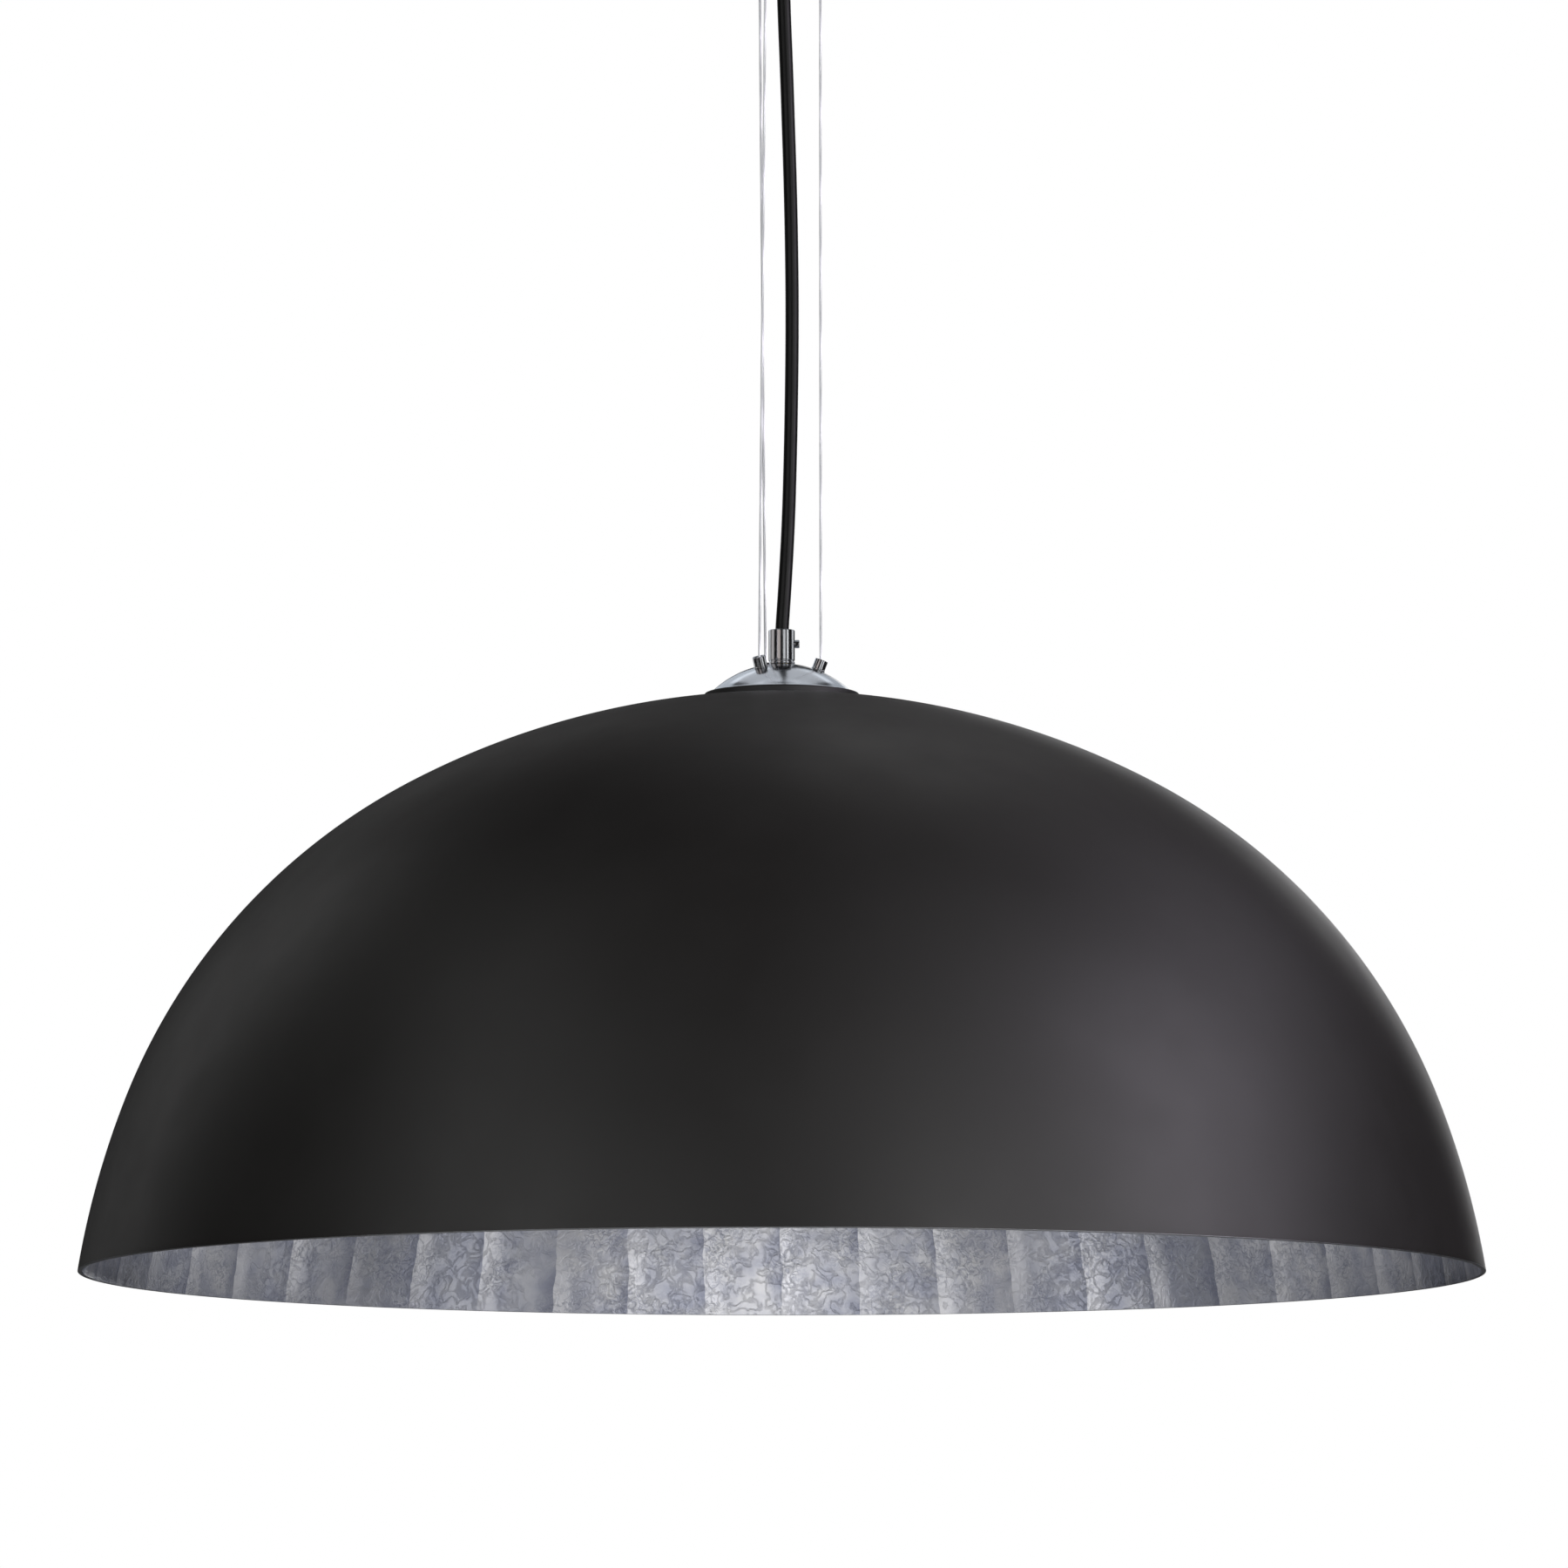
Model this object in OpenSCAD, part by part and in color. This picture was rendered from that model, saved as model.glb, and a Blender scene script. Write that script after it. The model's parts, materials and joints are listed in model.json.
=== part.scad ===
/* [Shade] */
// Width of the shade across its rim
shade_d = 700; // [500:5:900]
// Height of the shade from its rim to its crown
shade_h = 290; // [220:5:380]
// Radius of the arc that turns the crown into the side
shoulder_r = 300; // [260:5:330]
// Angle from the axis at which the crown ends
crown_sweep = 28.5; // [24:0.5:32]
// Angle from the axis at which the shoulder ends
shoulder_sweep = 69; // [64:0.5:73]
// Lean of the rim inward from upright
rim_lean = 9; // [6:0.5:12]
// Thickness of the spun sheet
shade_t = 2; // [1.5:0.1:3]
// Thickness of the silver leaf and its size coat
leaf_t = 0.3; // [0.2:0.1:0.6]

/* [Drop] */
// Distance from the ceiling down to the crown of the shade
drop = 420; // [380:5:1500]
// Thickness of each suspension wire
wire_d = 1.3; // [0.8:0.1:1.8]
// Turn of the wire grips about the axis, seen from above
top_turn = 5.5; // [-10:0.5:10]
// Turn of the wire anchors about the axis, seen from above
bottom_turn = -5; // [-10:0.5:10]
// Thickness of the flex
cord_d = 6.8; // [5.5:0.1:7.4]

/* [Cap] */
// Width of the cap at its base
cap_d = 72; // [64:1:90]
// Height of the cap above its base
cap_h = 15; // [12:0.5:20]
// Thickness of the cap
cap_t = 1.5; // [1:0.1:2]
// Height of the gasket's top above the crown
gasket_top = 1.4; // [1:0.1:4]
// How far the gasket stands out past the cap
gasket_lip = 3; // [1:0.5:6]
// Angle from the axis at which the anchors stand on the cap
anchor_lean = 21; // [19:0.5:25]
// Width of an anchor
anchor_d = 6.6; // [6:0.1:8]
// Height of an anchor above the cap
anchor_h = 5.5; // [4.5:0.5:8]
// Width of the cord grip
grip_d = 13.3; // [12.5:0.1:18]
// Height of the cord grip
grip_h = 17.4; // [16:0.2:24]
// Diameter of the hollow threaded stem
stem_d = 10; // [9.5:0.1:10.5]

/* [Canopy] */
// Width of the ceiling canopy
canopy_d = 100; // [92:1:140]
// Depth of the ceiling canopy
canopy_h = 28; // [26:1:40]
// Thickness of the canopy's wall
canopy_t = 1.2; // [1:0.1:2]
// Radius of the canopy's lower edge
canopy_edge_r = 6; // [3:0.5:10]
// Thickness of the ceiling bracket
bracket_t = 2; // [1.5:0.1:3]
// Distance between the two ceiling screws
screw_spacing = 60; // [50:1:64]
// Width of the slot for a ceiling screw
slot_w = 5; // [4:0.5:6]
// Length of the slot for a ceiling screw
slot_l = 12; // [8:1:16]
// Width of the hole for the mains cable
cable_hole_d = 20; // [14:1:24]

/* [Bulb] */
// Width of the globe bulb
bulb_d = 95; // [60:1:125]
// Length of the bulb from its contact to its lowest point
bulb_l = 138; // [105:1:180]
// Thickness of the bulb's glass
glass_t = 1; // [0.6:0.1:1.5]
// Outer width of the bulb's screw thread
thread_d = 26.4; // [26:0.1:26.6]
// Pitch of the bulb's screw thread
thread_pitch = 3.6; // [3.2:0.1:4]

/* [Hidden] */

$fn = 180;
// Play between two pieces that only pass each other
play = 0.1;
// Play between two pieces that are screwed or pressed together
fit = 0.05;
// How far a cut runs past the face that it opens
past = 1;
// Lean that the wires and the flex have room for, when they swing sideways and to the front at once
swing_lean = 7.2;
black = "#262524";
nickel = "#c9c7c2";
steel = "#b9bcc0";
brass = "#c8a44c";
porcelain = "#efece4";
polyamide = "#e8e6df";
leaf_silver = "#b4b6bc";
core_brown = "#7a4a2a";
opal = "#f4f2ea";
rubber = "#151515";

// Everything from the cap down is placed from the crown, which is z = 0 in those modules.
crown_z = -drop;
module at_crown() translate([0, 0, crown_z]) children();

// The shade's outline is three arcs that meet tangent: crown, shoulder and side. The shoulder's radius is
// given, and the other two follow from the width and the height.
rim_sweep = 90 - rim_lean;
span = shade_d / 2 - shoulder_r * (sin(shoulder_sweep) - sin(crown_sweep));
fall = shade_h - shoulder_r * (cos(crown_sweep) - cos(shoulder_sweep));
side_span = sin(rim_sweep) - sin(shoulder_sweep);
side_fall = cos(shoulder_sweep) - cos(rim_sweep);
crown_fall = 1 - cos(crown_sweep);
outline_det = sin(crown_sweep) * side_fall - side_span * crown_fall;
crown_r = (span * side_fall - fall * side_span) / outline_det;
side_r = (fall * sin(crown_sweep) - span * crown_fall) / outline_det;
function polar(r, sweep) = [r * sin(sweep), r * cos(sweep)];
crown_c = [0, -crown_r];
shoulder_c = crown_c + polar(crown_r - shoulder_r, crown_sweep);
side_c = shoulder_c + polar(shoulder_r - side_r, shoulder_sweep);
function sweep_arc(c, r, from, to, steps) =
    [for (i = [0:steps]) c + polar(r, from + (to - from) * i / steps)];
function dome_line(inset) = concat(
    sweep_arc(crown_c, crown_r - inset, 0, crown_sweep, 12),
    sweep_arc(shoulder_c, shoulder_r - inset, crown_sweep, shoulder_sweep, 16),
    sweep_arc(side_c, side_r - inset, shoulder_sweep, rim_sweep, 6));
function turned(points) = [for (i = [len(points) - 1:-1:0]) points[i]];
function dome_band(outer, inner) = concat(dome_line(outer), turned(dome_line(inner)));
// Height of the crown's surface at a radius, with the wall taken off
function crown_level(r, inset) = sqrt(pow(crown_r - inset, 2) - r * r) - crown_r;
// Arc in the r, z plane, by the angle from the r axis
function arc(c, r, from, to, steps) =
    [for (i = [0:steps]) let (a = from + (to - from) * i / steps) c + r * [cos(a), sin(a)]];

// Cap and gasket
cap_r = (pow(cap_d / 2, 2) + cap_h * cap_h) / (2 * cap_h);
cap_c = gasket_top + cap_h - cap_r;
stem_r = stem_d / 2;
stem_hole_r = stem_r + play;
gasket_w = 9;
gasket_r = cap_d / 2 + gasket_lip;

// Anchors stand square to the cap. Each holds the ball on the end of a wire.
ball_r = 1.7;
anchor_bore_r = ball_r + 0.5;
pivot_h = anchor_h - 1.5;
anchor_floor = pivot_h - ball_r - 0.9;
anchor_neck_r = 2.3;
anchor_nut_h = 2;
anchor_nut_r = 4.05;
pivot_r = (cap_r + pivot_h) * sin(anchor_lean);
lower_pivot_z = crown_z + cap_c + (cap_r + pivot_h) * cos(anchor_lean);
TURN = [0, 120, 240];
function ring_point(r, turn, z) = [r * cos(turn), r * sin(turn), z];
function lower_pivot(i) = ring_point(pivot_r, bottom_turn + TURN[i], lower_pivot_z);
function upper_pivot(i) = ring_point(pivot_r, top_turn + TURN[i], upper_pivot_z);

// Wire grippers under the canopy
canopy_r = canopy_d / 2;
floor_z = -canopy_h;
gripper_r = 5;
gripper_l = 14;
gripper_thread_r = 4;
gripper_thread_l = 8;
tip_r = 2.7;
tip_bore_r = 1.7;
tip_mouth_r = 2.15;
tip_travel = 1.4;
tip_out = 3.5;
tip_l = tip_out + 1.2;
lip_h = 1.2;
tip_top_z = floor_z - gripper_l - tip_out + tip_l;
lip_z = tip_top_z + tip_travel + play;
upper_pivot_z = lip_z + lip_h + ball_r + play;
gripper_nut_h = 4;
gripper_nut_r = 7.5;

// The flex swings about a point in the cord bush and a point in the cord grip that are as far apart as the
// two ends of a wire, so that all four stay parallel.
cord_r = cord_d / 2;
grip_z = cap_c + sqrt(cap_r * cap_r - stem_hole_r * stem_hole_r) + fit;
grip_mouth_h = 2.6;
cord_low_h = grip_z + grip_h - grip_mouth_h;
cord_low_z = crown_z + cord_low_h;
cord_top_z = cord_low_z + upper_pivot_z - lower_pivot_z;
cord_end = 0.8;
cord_gap = 0.8;
bush_r = 8;
bush_l = 8;
bush_thread_r = 7;
bush_top = 6;
bush_nut_h = 4;
bush_nut_r = 11;
grommet_r = cord_r + 1.7;
grommet_h = 3.6;
// The bush's mouth is wide enough for the flex to lean from its swing point
bush_lip_r = cord_r + 0.3 + (grommet_h + 2 * play) * tan(swing_lean);
bush_mouth_r = cord_r + 0.55 + (cord_top_z - floor_z + bush_l) * tan(swing_lean);
// Hand-set route of the flex between its two swing points: how far it stands off the axis, and how far up
// it is as a share of the way. It bows out sideways, as a stiff flex between two fixed ends does.
CORD_ROUTE = [[0, 0], [0.35, 0.02], [1.1, 0.05], [2.2, 0.1], [3.3, 0.16], [4.2, 0.24], [4.9, 0.34],
    [5.2, 0.44], [4.9, 0.54], [4.2, 0.63], [3.3, 0.71], [2.3, 0.79], [1.3, 0.86], [0.5, 0.93], [0.1, 0.98],
    [0, 1]];

// Lampholder, measured down from the crown
disc_r = 25;
disc_t = 2.5;
disc_z = crown_level(disc_r, shade_t) - 0.15;
lock_nut_h = 4;
lock_nut_r = 8.1;
holder_z = disc_z - disc_t - lock_nut_h - 1;
holder_r = 20;
holder_t = 2;
neck_r = 8;
neck_h = 7;
bell_h = 8;
holder_cap_h = 28;
holder_l = 62;
insert_z = holder_z - holder_cap_h + 2;
insert_h = 10;
base_tip_h = 3.5;
contact_z = insert_z - insert_h - base_tip_h;
shell_clear = 0.5;
shell_t = 0.5;
thread_depth = 0.5;
base_l = 24;
flex_end_z = holder_z - neck_h - 5;
core_r = 1.1;

// A tube swept along points, square to the path. side is a direction that the path never runs along.
function unit(v) = v / norm(v);
function tangent(p, i) = unit(p[min(i + 1, len(p) - 1)] - p[max(i - 1, 0)]);
function tube_ring(p, i, r, side, sides) =
    let (t = tangent(p, i), u = unit(cross(t, side)), v = cross(t, u))
    [for (k = [0:sides - 1]) p[i] + r * (cos(360 * k / sides) * u + sin(360 * k / sides) * v)];
module tube(p, r, side, sides) {
    n = len(p);
    rings = [for (i = [0:n - 1]) each tube_ring(p, i, r, side, sides)];
    walls = [for (i = [0:n - 2]) for (k = [0:sides - 1])
        let (a = i * sides, b = a + sides, next = (k + 1) % sides) [a + k, a + next, b + next, b + k]];
    low_end = [for (k = [0:sides - 1]) sides - 1 - k];
    high_end = [for (k = [0:sides - 1]) (n - 1) * sides + k];
    polyhedron(rings, concat([low_end], walls, [high_end]), convexity = 4);
}
// Points along a smooth curve through a route
function spline(p, a, t) =
    let (b = p[a], c = p[a + 1], before = p[max(a - 1, 0)], after = p[min(a + 2, len(p) - 1)])
    0.5 * (2 * b + (c - before) * t + (2 * before - 5 * b + 4 * c - after) * t * t
        + (3 * b - before - 3 * c + after) * t * t * t);
function smooth(p, steps) =
    concat([for (a = [0:len(p) - 2]) for (s = [0:steps - 1]) spline(p, a, s / steps)], [p[len(p) - 1]]);

// A round bar between two points
module bar(from, to, r) {
    along = to - from;
    translate(from)
        rotate([0, acos(along.z / norm(along)), atan2(along.y, along.x)])
            cylinder(h = norm(along), r = r);
}
module hex(r, h, bore) difference() {
    cylinder(h = h, r = r, $fn = 6);
    translate([0, 0, -past]) cylinder(h = h + 2 * past, r = bore);
}

// A screw's head with a slot across its top
slot_t = 0.8;
module slotted_head(r, h) difference() {
    cylinder(h = h, r = r);
    translate([-2 * r, -slot_t / 2, 0.6 * h]) cube([4 * r, slot_t, h]);
}

// Ceiling bracket
bracket_gap = 2.8;
bracket_r = canopy_r - canopy_t - bracket_gap;
tab_w = 12;
tab_h = 10;
side_screw_z = -7;
side_screw_r = 1.6;
side_slot_r = 2.2;
head_r = 4;
earth_at = 24;
earth_r = 2;
earth_head_h = 2.9;
module ceiling_bracket() color(steel) difference() {
    union() {
        translate([0, 0, -bracket_t]) cylinder(h = bracket_t, r = bracket_r);
        for (s = [-1, 1])
            translate([-tab_w / 2, s * (bracket_r - 1.5 * bracket_t) - bracket_t / 2, -bracket_t - tab_h])
                cube([tab_w, bracket_t, tab_h + 0.5]);
    }
    translate([0, 0, -bracket_t - past]) cylinder(h = bracket_t + 2 * past, d = cable_hole_d);
    for (s = [-1, 1]) {
        for (e = [-1, 1])
            translate([s * screw_spacing / 2 + e * (slot_l - slot_w) / 2, 0, -bracket_t - past])
                cylinder(h = bracket_t + 2 * past, d = slot_w);
        translate([s * screw_spacing / 2 - (slot_l - slot_w) / 2, -slot_w / 2, -bracket_t - past])
            cube([slot_l - slot_w, slot_w, bracket_t + 2 * past]);
        translate([0, s * (bracket_r - 3 * bracket_t), side_screw_z])
            rotate([-90 * s, 0, 0]) cylinder(h = 3 * bracket_t, r = side_screw_r + fit);
    }
    translate([earth_at, earth_at, -bracket_t - past])
        cylinder(h = bracket_t + 2 * past, r = earth_r + fit);
}
module side_screws() color(nickel)
    for (s = [-1, 1]) translate([0, 0, side_screw_z]) rotate([-90 * s, 0, 0]) {
        from = bracket_r - 3 * bracket_t;
        translate([0, 0, from]) cylinder(h = canopy_r + past - from, r = side_screw_r);
        translate([0, 0, canopy_r + play]) slotted_head(head_r, 2.4);
    }
module earth_screw() color(brass) translate([earth_at, earth_at, 0]) {
    translate([0, 0, -bracket_t - earth_head_h]) cylinder(h = bracket_t + earth_head_h, r = earth_r);
    translate([0, 0, -bracket_t - play]) rotate([180, 0, 0]) slotted_head(head_r, earth_head_h);
}

// Canopy
module canopy_cup() color(black) difference() {
    inner_r = canopy_r - canopy_t;
    inner_edge_r = canopy_edge_r - canopy_t;
    edge_c = [canopy_r - canopy_edge_r, floor_z + canopy_edge_r];
    rotate_extrude() polygon(concat([[0, floor_z]], arc(edge_c, canopy_edge_r, -90, 0, 12), [[canopy_r, 0],
        [inner_r, 0]], arc(edge_c, inner_edge_r, 0, -90, 12), [[0, floor_z + canopy_t]]));
    translate([0, 0, floor_z - past]) cylinder(h = canopy_t + 2 * past, r = bush_thread_r + play);
    for (i = [0:2]) translate(ring_point(pivot_r, top_turn + TURN[i], floor_z - past))
        cylinder(h = canopy_t + 2 * past, r = gripper_thread_r + play);
    for (s = [-1, 1]) {
        translate([0, s * (canopy_r - canopy_edge_r), side_screw_z])
            rotate([-90 * s, 0, 0]) cylinder(h = 2 * canopy_edge_r, r = side_slot_r);
        translate([-side_slot_r, s * canopy_r - canopy_edge_r, side_screw_z])
            cube([2 * side_slot_r, 2 * canopy_edge_r, past - side_screw_z]);
    }
}
module cord_bush() color(black) rotate_extrude() polygon([
    [bush_lip_r, cord_top_z - grommet_h - 2 * play], [grommet_r + play, cord_top_z - grommet_h - 2 * play],
    [grommet_r + play, cord_top_z + bush_top], [bush_thread_r, cord_top_z + bush_top],
    [bush_thread_r, floor_z], [bush_r + 1.5, floor_z], [bush_r + 1.5, floor_z - 2.5], [bush_r, floor_z - 3],
    [bush_r - 1, floor_z - bush_l],
    [bush_mouth_r, floor_z - bush_l]]);
module cord_bush_nut() color(black) translate([0, 0, floor_z + canopy_t + play])
    hex(bush_nut_r, bush_nut_h, bush_thread_r + fit);
module gripper(i) color(nickel) translate(ring_point(pivot_r, top_turn + TURN[i], 0)) {
    top = floor_z + gripper_thread_l;
    foot = floor_z - gripper_l;
    rotate_extrude() polygon([
        [tip_r + play, foot], [gripper_r - 0.8, foot], [gripper_r, foot + 0.8], [gripper_r, foot + 9.6],
        [gripper_r - 0.5, foot + 10], [gripper_r - 0.5, foot + 10.6], [gripper_r, foot + 11],
        [gripper_r, floor_z], [gripper_thread_r, floor_z], [gripper_thread_r, top], [wire_d, top],
        [wire_d, upper_pivot_z + ball_r + 1], [ball_r + 0.2, upper_pivot_z + ball_r + 0.4],
        [ball_r + 0.2, lip_z + lip_h], [tip_bore_r - 0.1, lip_z + lip_h], [tip_bore_r - 0.1, lip_z],
        [tip_r + play, lip_z]]);
}
module gripper_nuts() color(nickel) for (i = [0:2])
    translate(ring_point(pivot_r, top_turn + TURN[i], floor_z + canopy_t + play))
        hex(gripper_nut_r, gripper_nut_h, gripper_thread_r + fit);
module release_tip(i) color(nickel) translate(ring_point(pivot_r, top_turn + TURN[i], 0))
    rotate_extrude() polygon([[tip_mouth_r, tip_top_z - tip_l], [tip_r - 0.3, tip_top_z - tip_l],
        [tip_r, tip_top_z - tip_l + 0.3], [tip_r, tip_top_z], [tip_bore_r, tip_top_z]]);

// Terminal block, on the canopy's floor
block_x = -32;
block = [12, 30, 14];
way_y = 9.5;
way_h = 4.5;
clamp_h = 6;
clamp_r = 2.5;
tower_h = 4;
tower_r = 4.2;
block_z = floor_z + canopy_t + play;
module terminal_block() color(polyamide) difference() {
    translate([block_x - block.x / 2, -block.y / 2, block_z]) {
        cube([block.x, block.y, block.z - tower_h]);
        for (k = [-1:1]) translate([block.x / 2, block.y / 2 + k * way_y, 0])
            cylinder(h = block.z, r = tower_r);
    }
    for (k = [-1:1]) {
        translate([block_x, k * way_y, block_z + clamp_h]) cylinder(h = block.z, r = clamp_r + play);
        translate([block_x - block.x, k * way_y, block_z + way_h]) rotate([0, 90, 0])
            cylinder(h = 2 * block.x, r = core_r + 0.4);
    }
}
module terminal_screws() color(brass) for (k = [-1:1])
    translate([block_x, k * way_y, block_z + clamp_h + fit]) slotted_head(clamp_r, 6);
upper_flex_z = cord_top_z + cord_end + cord_gap;
upper_flex_top = cord_top_z + bush_top + 3;
module upper_flex() color(black) translate([0, 0, upper_flex_z])
    cylinder(h = upper_flex_top - upper_flex_z, r = cord_r);
// Where the three cores leave the flex, and the hand-set way that each takes to its terminal
CORE_START = [[0, -1.5], [-1.4, 0], [0, 1.5]];
function core_way(k) = let (
        start = [CORE_START[k + 1].x, CORE_START[k + 1].y, upper_flex_top + fit],
        face = [block_x + block.x / 2, way_y * k, block_z + way_h])
    [start, start + [0, 0, 1], start + [0, 0, 2.5], start + [-4, k, 4.5],
        [-14, 5 * k, upper_flex_top + 1.5], [-22, way_y * k, block_z + 6], face,
        [block_x + 1, way_y * k, block_z + way_h]];
module upper_cores() color(core_brown) for (k = [-1:1])
    tube(smooth(core_way(k), 3), core_r, [0, 1, 0], 8);

// Balls, wires and flex
module bored_ball() color(steel) difference() {
    sphere(r = ball_r);
    cylinder(h = 4 * ball_r, r = wire_d / 2 + 2 * play, center = true);
}
module upper_ball(i) translate(upper_pivot(i)) bored_ball();
module lower_ball_right() translate(lower_pivot(0)) bored_ball();
function wire_way(i) = unit(lower_pivot(i) - upper_pivot(i));
module wire(i, with_ball) color(steel) {
    over = with_ball ? 0 : 1.1;
    bar(upper_pivot(i) - 1.3 * wire_way(i), lower_pivot(i) + over * wire_way(i), wire_d / 2);
    if (with_ball) translate(lower_pivot(i)) sphere(r = ball_r);
}
module cord_grommet() color(black) translate([0, 0, cord_top_z]) rotate_extrude() intersection() {
    circle(r = grommet_r);
    translate([cord_r + 0.45, -grommet_h]) square([grommet_r, 2 * grommet_h]);
}
cord_rise = cord_top_z - cord_low_z + 2 * cord_end;
cord_way = [for (q = CORD_ROUTE) [q.x, 0, cord_low_z - cord_end + q.y * cord_rise]];
module power_cord() color(black) tube(smooth(cord_way, 2), cord_r, [0, 1, 0], 12);

// Cap, gasket and anchors
module on_cap(i) translate([0, 0, cap_c]) rotate([0, anchor_lean, bottom_turn + TURN[i]])
    translate([0, 0, cap_r]) children();
module cap() at_crown() color(nickel) difference() {
    rotate_extrude() intersection() {
        translate([0, cap_c]) difference() {
            circle(r = cap_r);
            circle(r = cap_r - cap_t);
        }
        translate([stem_hole_r, gasket_top]) square([cap_d, cap_h + past]);
    }
    for (i = [0:2]) on_cap(i) cylinder(h = 6 * cap_t, r = anchor_neck_r + play, center = true);
}
module cap_gasket() at_crown() color(rubber) rotate_extrude() difference() {
    polygon([[gasket_r - gasket_w, -gasket_w], [gasket_r, -gasket_w], [gasket_r, gasket_top - 0.6],
        [gasket_r - 0.6, gasket_top], [gasket_r - gasket_w, gasket_top]]);
    polygon(concat([[0, -shade_h]], dome_line(-0.03)));
}
module anchor(i) at_crown() color(nickel) on_cap(i) rotate_extrude() polygon([
    [0, -cap_t - anchor_nut_h - 0.8], [anchor_neck_r, -cap_t - anchor_nut_h - 0.8], [anchor_neck_r, 0],
    [anchor_d / 2, 0], [anchor_d / 2, anchor_h - 0.4], [anchor_d / 2 - 0.4, anchor_h],
    [anchor_bore_r + 0.2, anchor_h], [anchor_bore_r, anchor_h - 0.2], [anchor_bore_r, anchor_floor],
    [0, anchor_floor]]);
module anchor_nuts() at_crown() color(steel) for (i = [0:2])
    on_cap(i) translate([0, 0, -cap_t - anchor_nut_h - 0.3])
        hex(anchor_nut_r, anchor_nut_h, anchor_neck_r + fit);

// Cord grip and stem
grip_r = grip_d / 2;
grip_screw_h = grip_h - 7;
grip_screw_r = 2.1;
grip_thread_r = 1.9;
stem_top = grip_screw_h - grip_screw_r - 0.8;
module cord_grip() at_crown() color(nickel) translate([0, 0, grip_z]) difference() {
    rotate_extrude() polygon([[stem_r + fit, 0], [grip_r - 0.4, 0], [grip_r, 0.4], [grip_r, grip_h - 0.9],
        [grip_r - 0.9, grip_h], [cord_r + 0.8, grip_h], [cord_r + 0.4, cord_low_h - grip_z],
        [cord_r + 0.3, stem_top + 0.4], [stem_r + fit, stem_top + 0.1]]);
    translate([0, 0, grip_screw_h]) rotate([0, 90, 0]) cylinder(h = grip_d, r = grip_thread_r + fit);
}
module grip_screw() at_crown() color(nickel) translate([0, 0, grip_z + grip_screw_h]) rotate([0, 90, 0]) {
    translate([0, 0, cord_r + fit]) cylinder(h = grip_r - cord_r + play, r = grip_thread_r);
    translate([0, 0, grip_r + play]) slotted_head(grip_screw_r, 2.2);
}
module stem() at_crown() color(brass) {
    low = holder_z - neck_h + 1;
    translate([0, 0, low]) difference() {
        cylinder(h = grip_z + stem_top - low, r = stem_r);
        translate([0, 0, -past]) cylinder(h = grip_z + stem_top - low + 2 * past, r = cord_r + 0.3);
    }
}
module lower_flex() at_crown() color(black) translate([0, 0, flex_end_z])
    cylinder(h = cord_low_h - cord_end - cord_gap - flex_end_z, r = cord_r);

// Shade and what clamps it
module shade() at_crown() color(black) rotate_extrude() difference() {
    polygon(dome_band(0, shade_t));
    translate([-1, -2 * shade_t]) square([1 + stem_hole_r, 4 * shade_t]);
}
module silver_leaf() at_crown() color(leaf_silver) rotate_extrude() difference() {
    polygon(dome_band(shade_t + 0.02, shade_t + leaf_t));
    translate([-1, -5 * shade_t]) square([1 + disc_r + 1, 10 * shade_t]);
}
module inner_disc() at_crown() color(steel) translate([0, 0, disc_z - disc_t]) difference() {
    cylinder(h = disc_t, r = disc_r);
    translate([0, 0, -past]) cylinder(h = disc_t + 2 * past, r = stem_hole_r);
}
module lock_nut() at_crown() color(brass) translate([0, 0, disc_z - disc_t - lock_nut_h - fit])
    hex(lock_nut_r, lock_nut_h, stem_r + fit);

// Lampholder
neck_z = holder_z - neck_h;
bell_z = neck_z - bell_h;
holder_cap_z = holder_z - holder_cap_h;
holder_end_z = holder_z - holder_l;
module lampholder_cap() at_crown() color(black) rotate_extrude() polygon([
    [stem_r + fit, holder_z], [neck_r, holder_z], [neck_r, neck_z], [holder_r - 4, bell_z],
    [holder_r, bell_z - 4], [holder_r, holder_cap_z], [holder_r - holder_t, holder_cap_z],
    [holder_r - holder_t, bell_z - 4.5], [holder_r - holder_t - 3.5, bell_z - 1.5],
    [neck_r - 1.5, neck_z - 1.5],
    [stem_r + fit, neck_z - 0.5]]);
module lampholder_body() at_crown() color(black) {
    thread_r = holder_r - holder_t - fit;
    rotate_extrude() polygon([[thread_r - holder_t, holder_cap_z + 4], [thread_r, holder_cap_z + 4],
        [thread_r, holder_cap_z - fit], [holder_r, holder_cap_z - fit], [holder_r - 0.6, holder_end_z],
        [holder_r - 2.2, holder_end_z], [thread_r - holder_t, holder_cap_z - 6]]);
}
ring_up = 9;
ring_h = 8;
ring_w = 3;
ring_grooves = 24;
groove_r = 0.9;
module lampholder_ring() at_crown() color(black) translate([0, 0, holder_end_z + ring_up]) difference() {
    cylinder(h = ring_h, r = holder_r + ring_w);
    translate([0, 0, -past]) cylinder(h = ring_h + 2 * past, r = holder_r + play);
    for (k = [1:ring_grooves]) rotate([0, 0, k * 360 / ring_grooves])
        translate([holder_r + ring_w + 0.4, 0, -past]) cylinder(h = ring_h + 2 * past, r = groove_r);
}
insert_r = holder_r - 2 * holder_t - 0.2;
terminal_x = 9;
module lampholder_insert() at_crown() color(porcelain) difference() {
    translate([0, 0, insert_z - insert_h]) cylinder(h = insert_h, r = insert_r);
    for (s = [-1, 1]) translate([s * terminal_x, 6, insert_z - insert_h - past])
        cylinder(h = insert_h + 2 * past, r = 1.5);
}
module lampholder_terminals() at_crown() color(brass) for (s = [-1, 1])
    translate([s * terminal_x - 2.5, -3, insert_z + fit]) difference() {
        cube([5, 6, 5]);
        translate([2.5, 3, 1]) cylinder(h = 5, r = core_r + 2 * play);
    }
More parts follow.
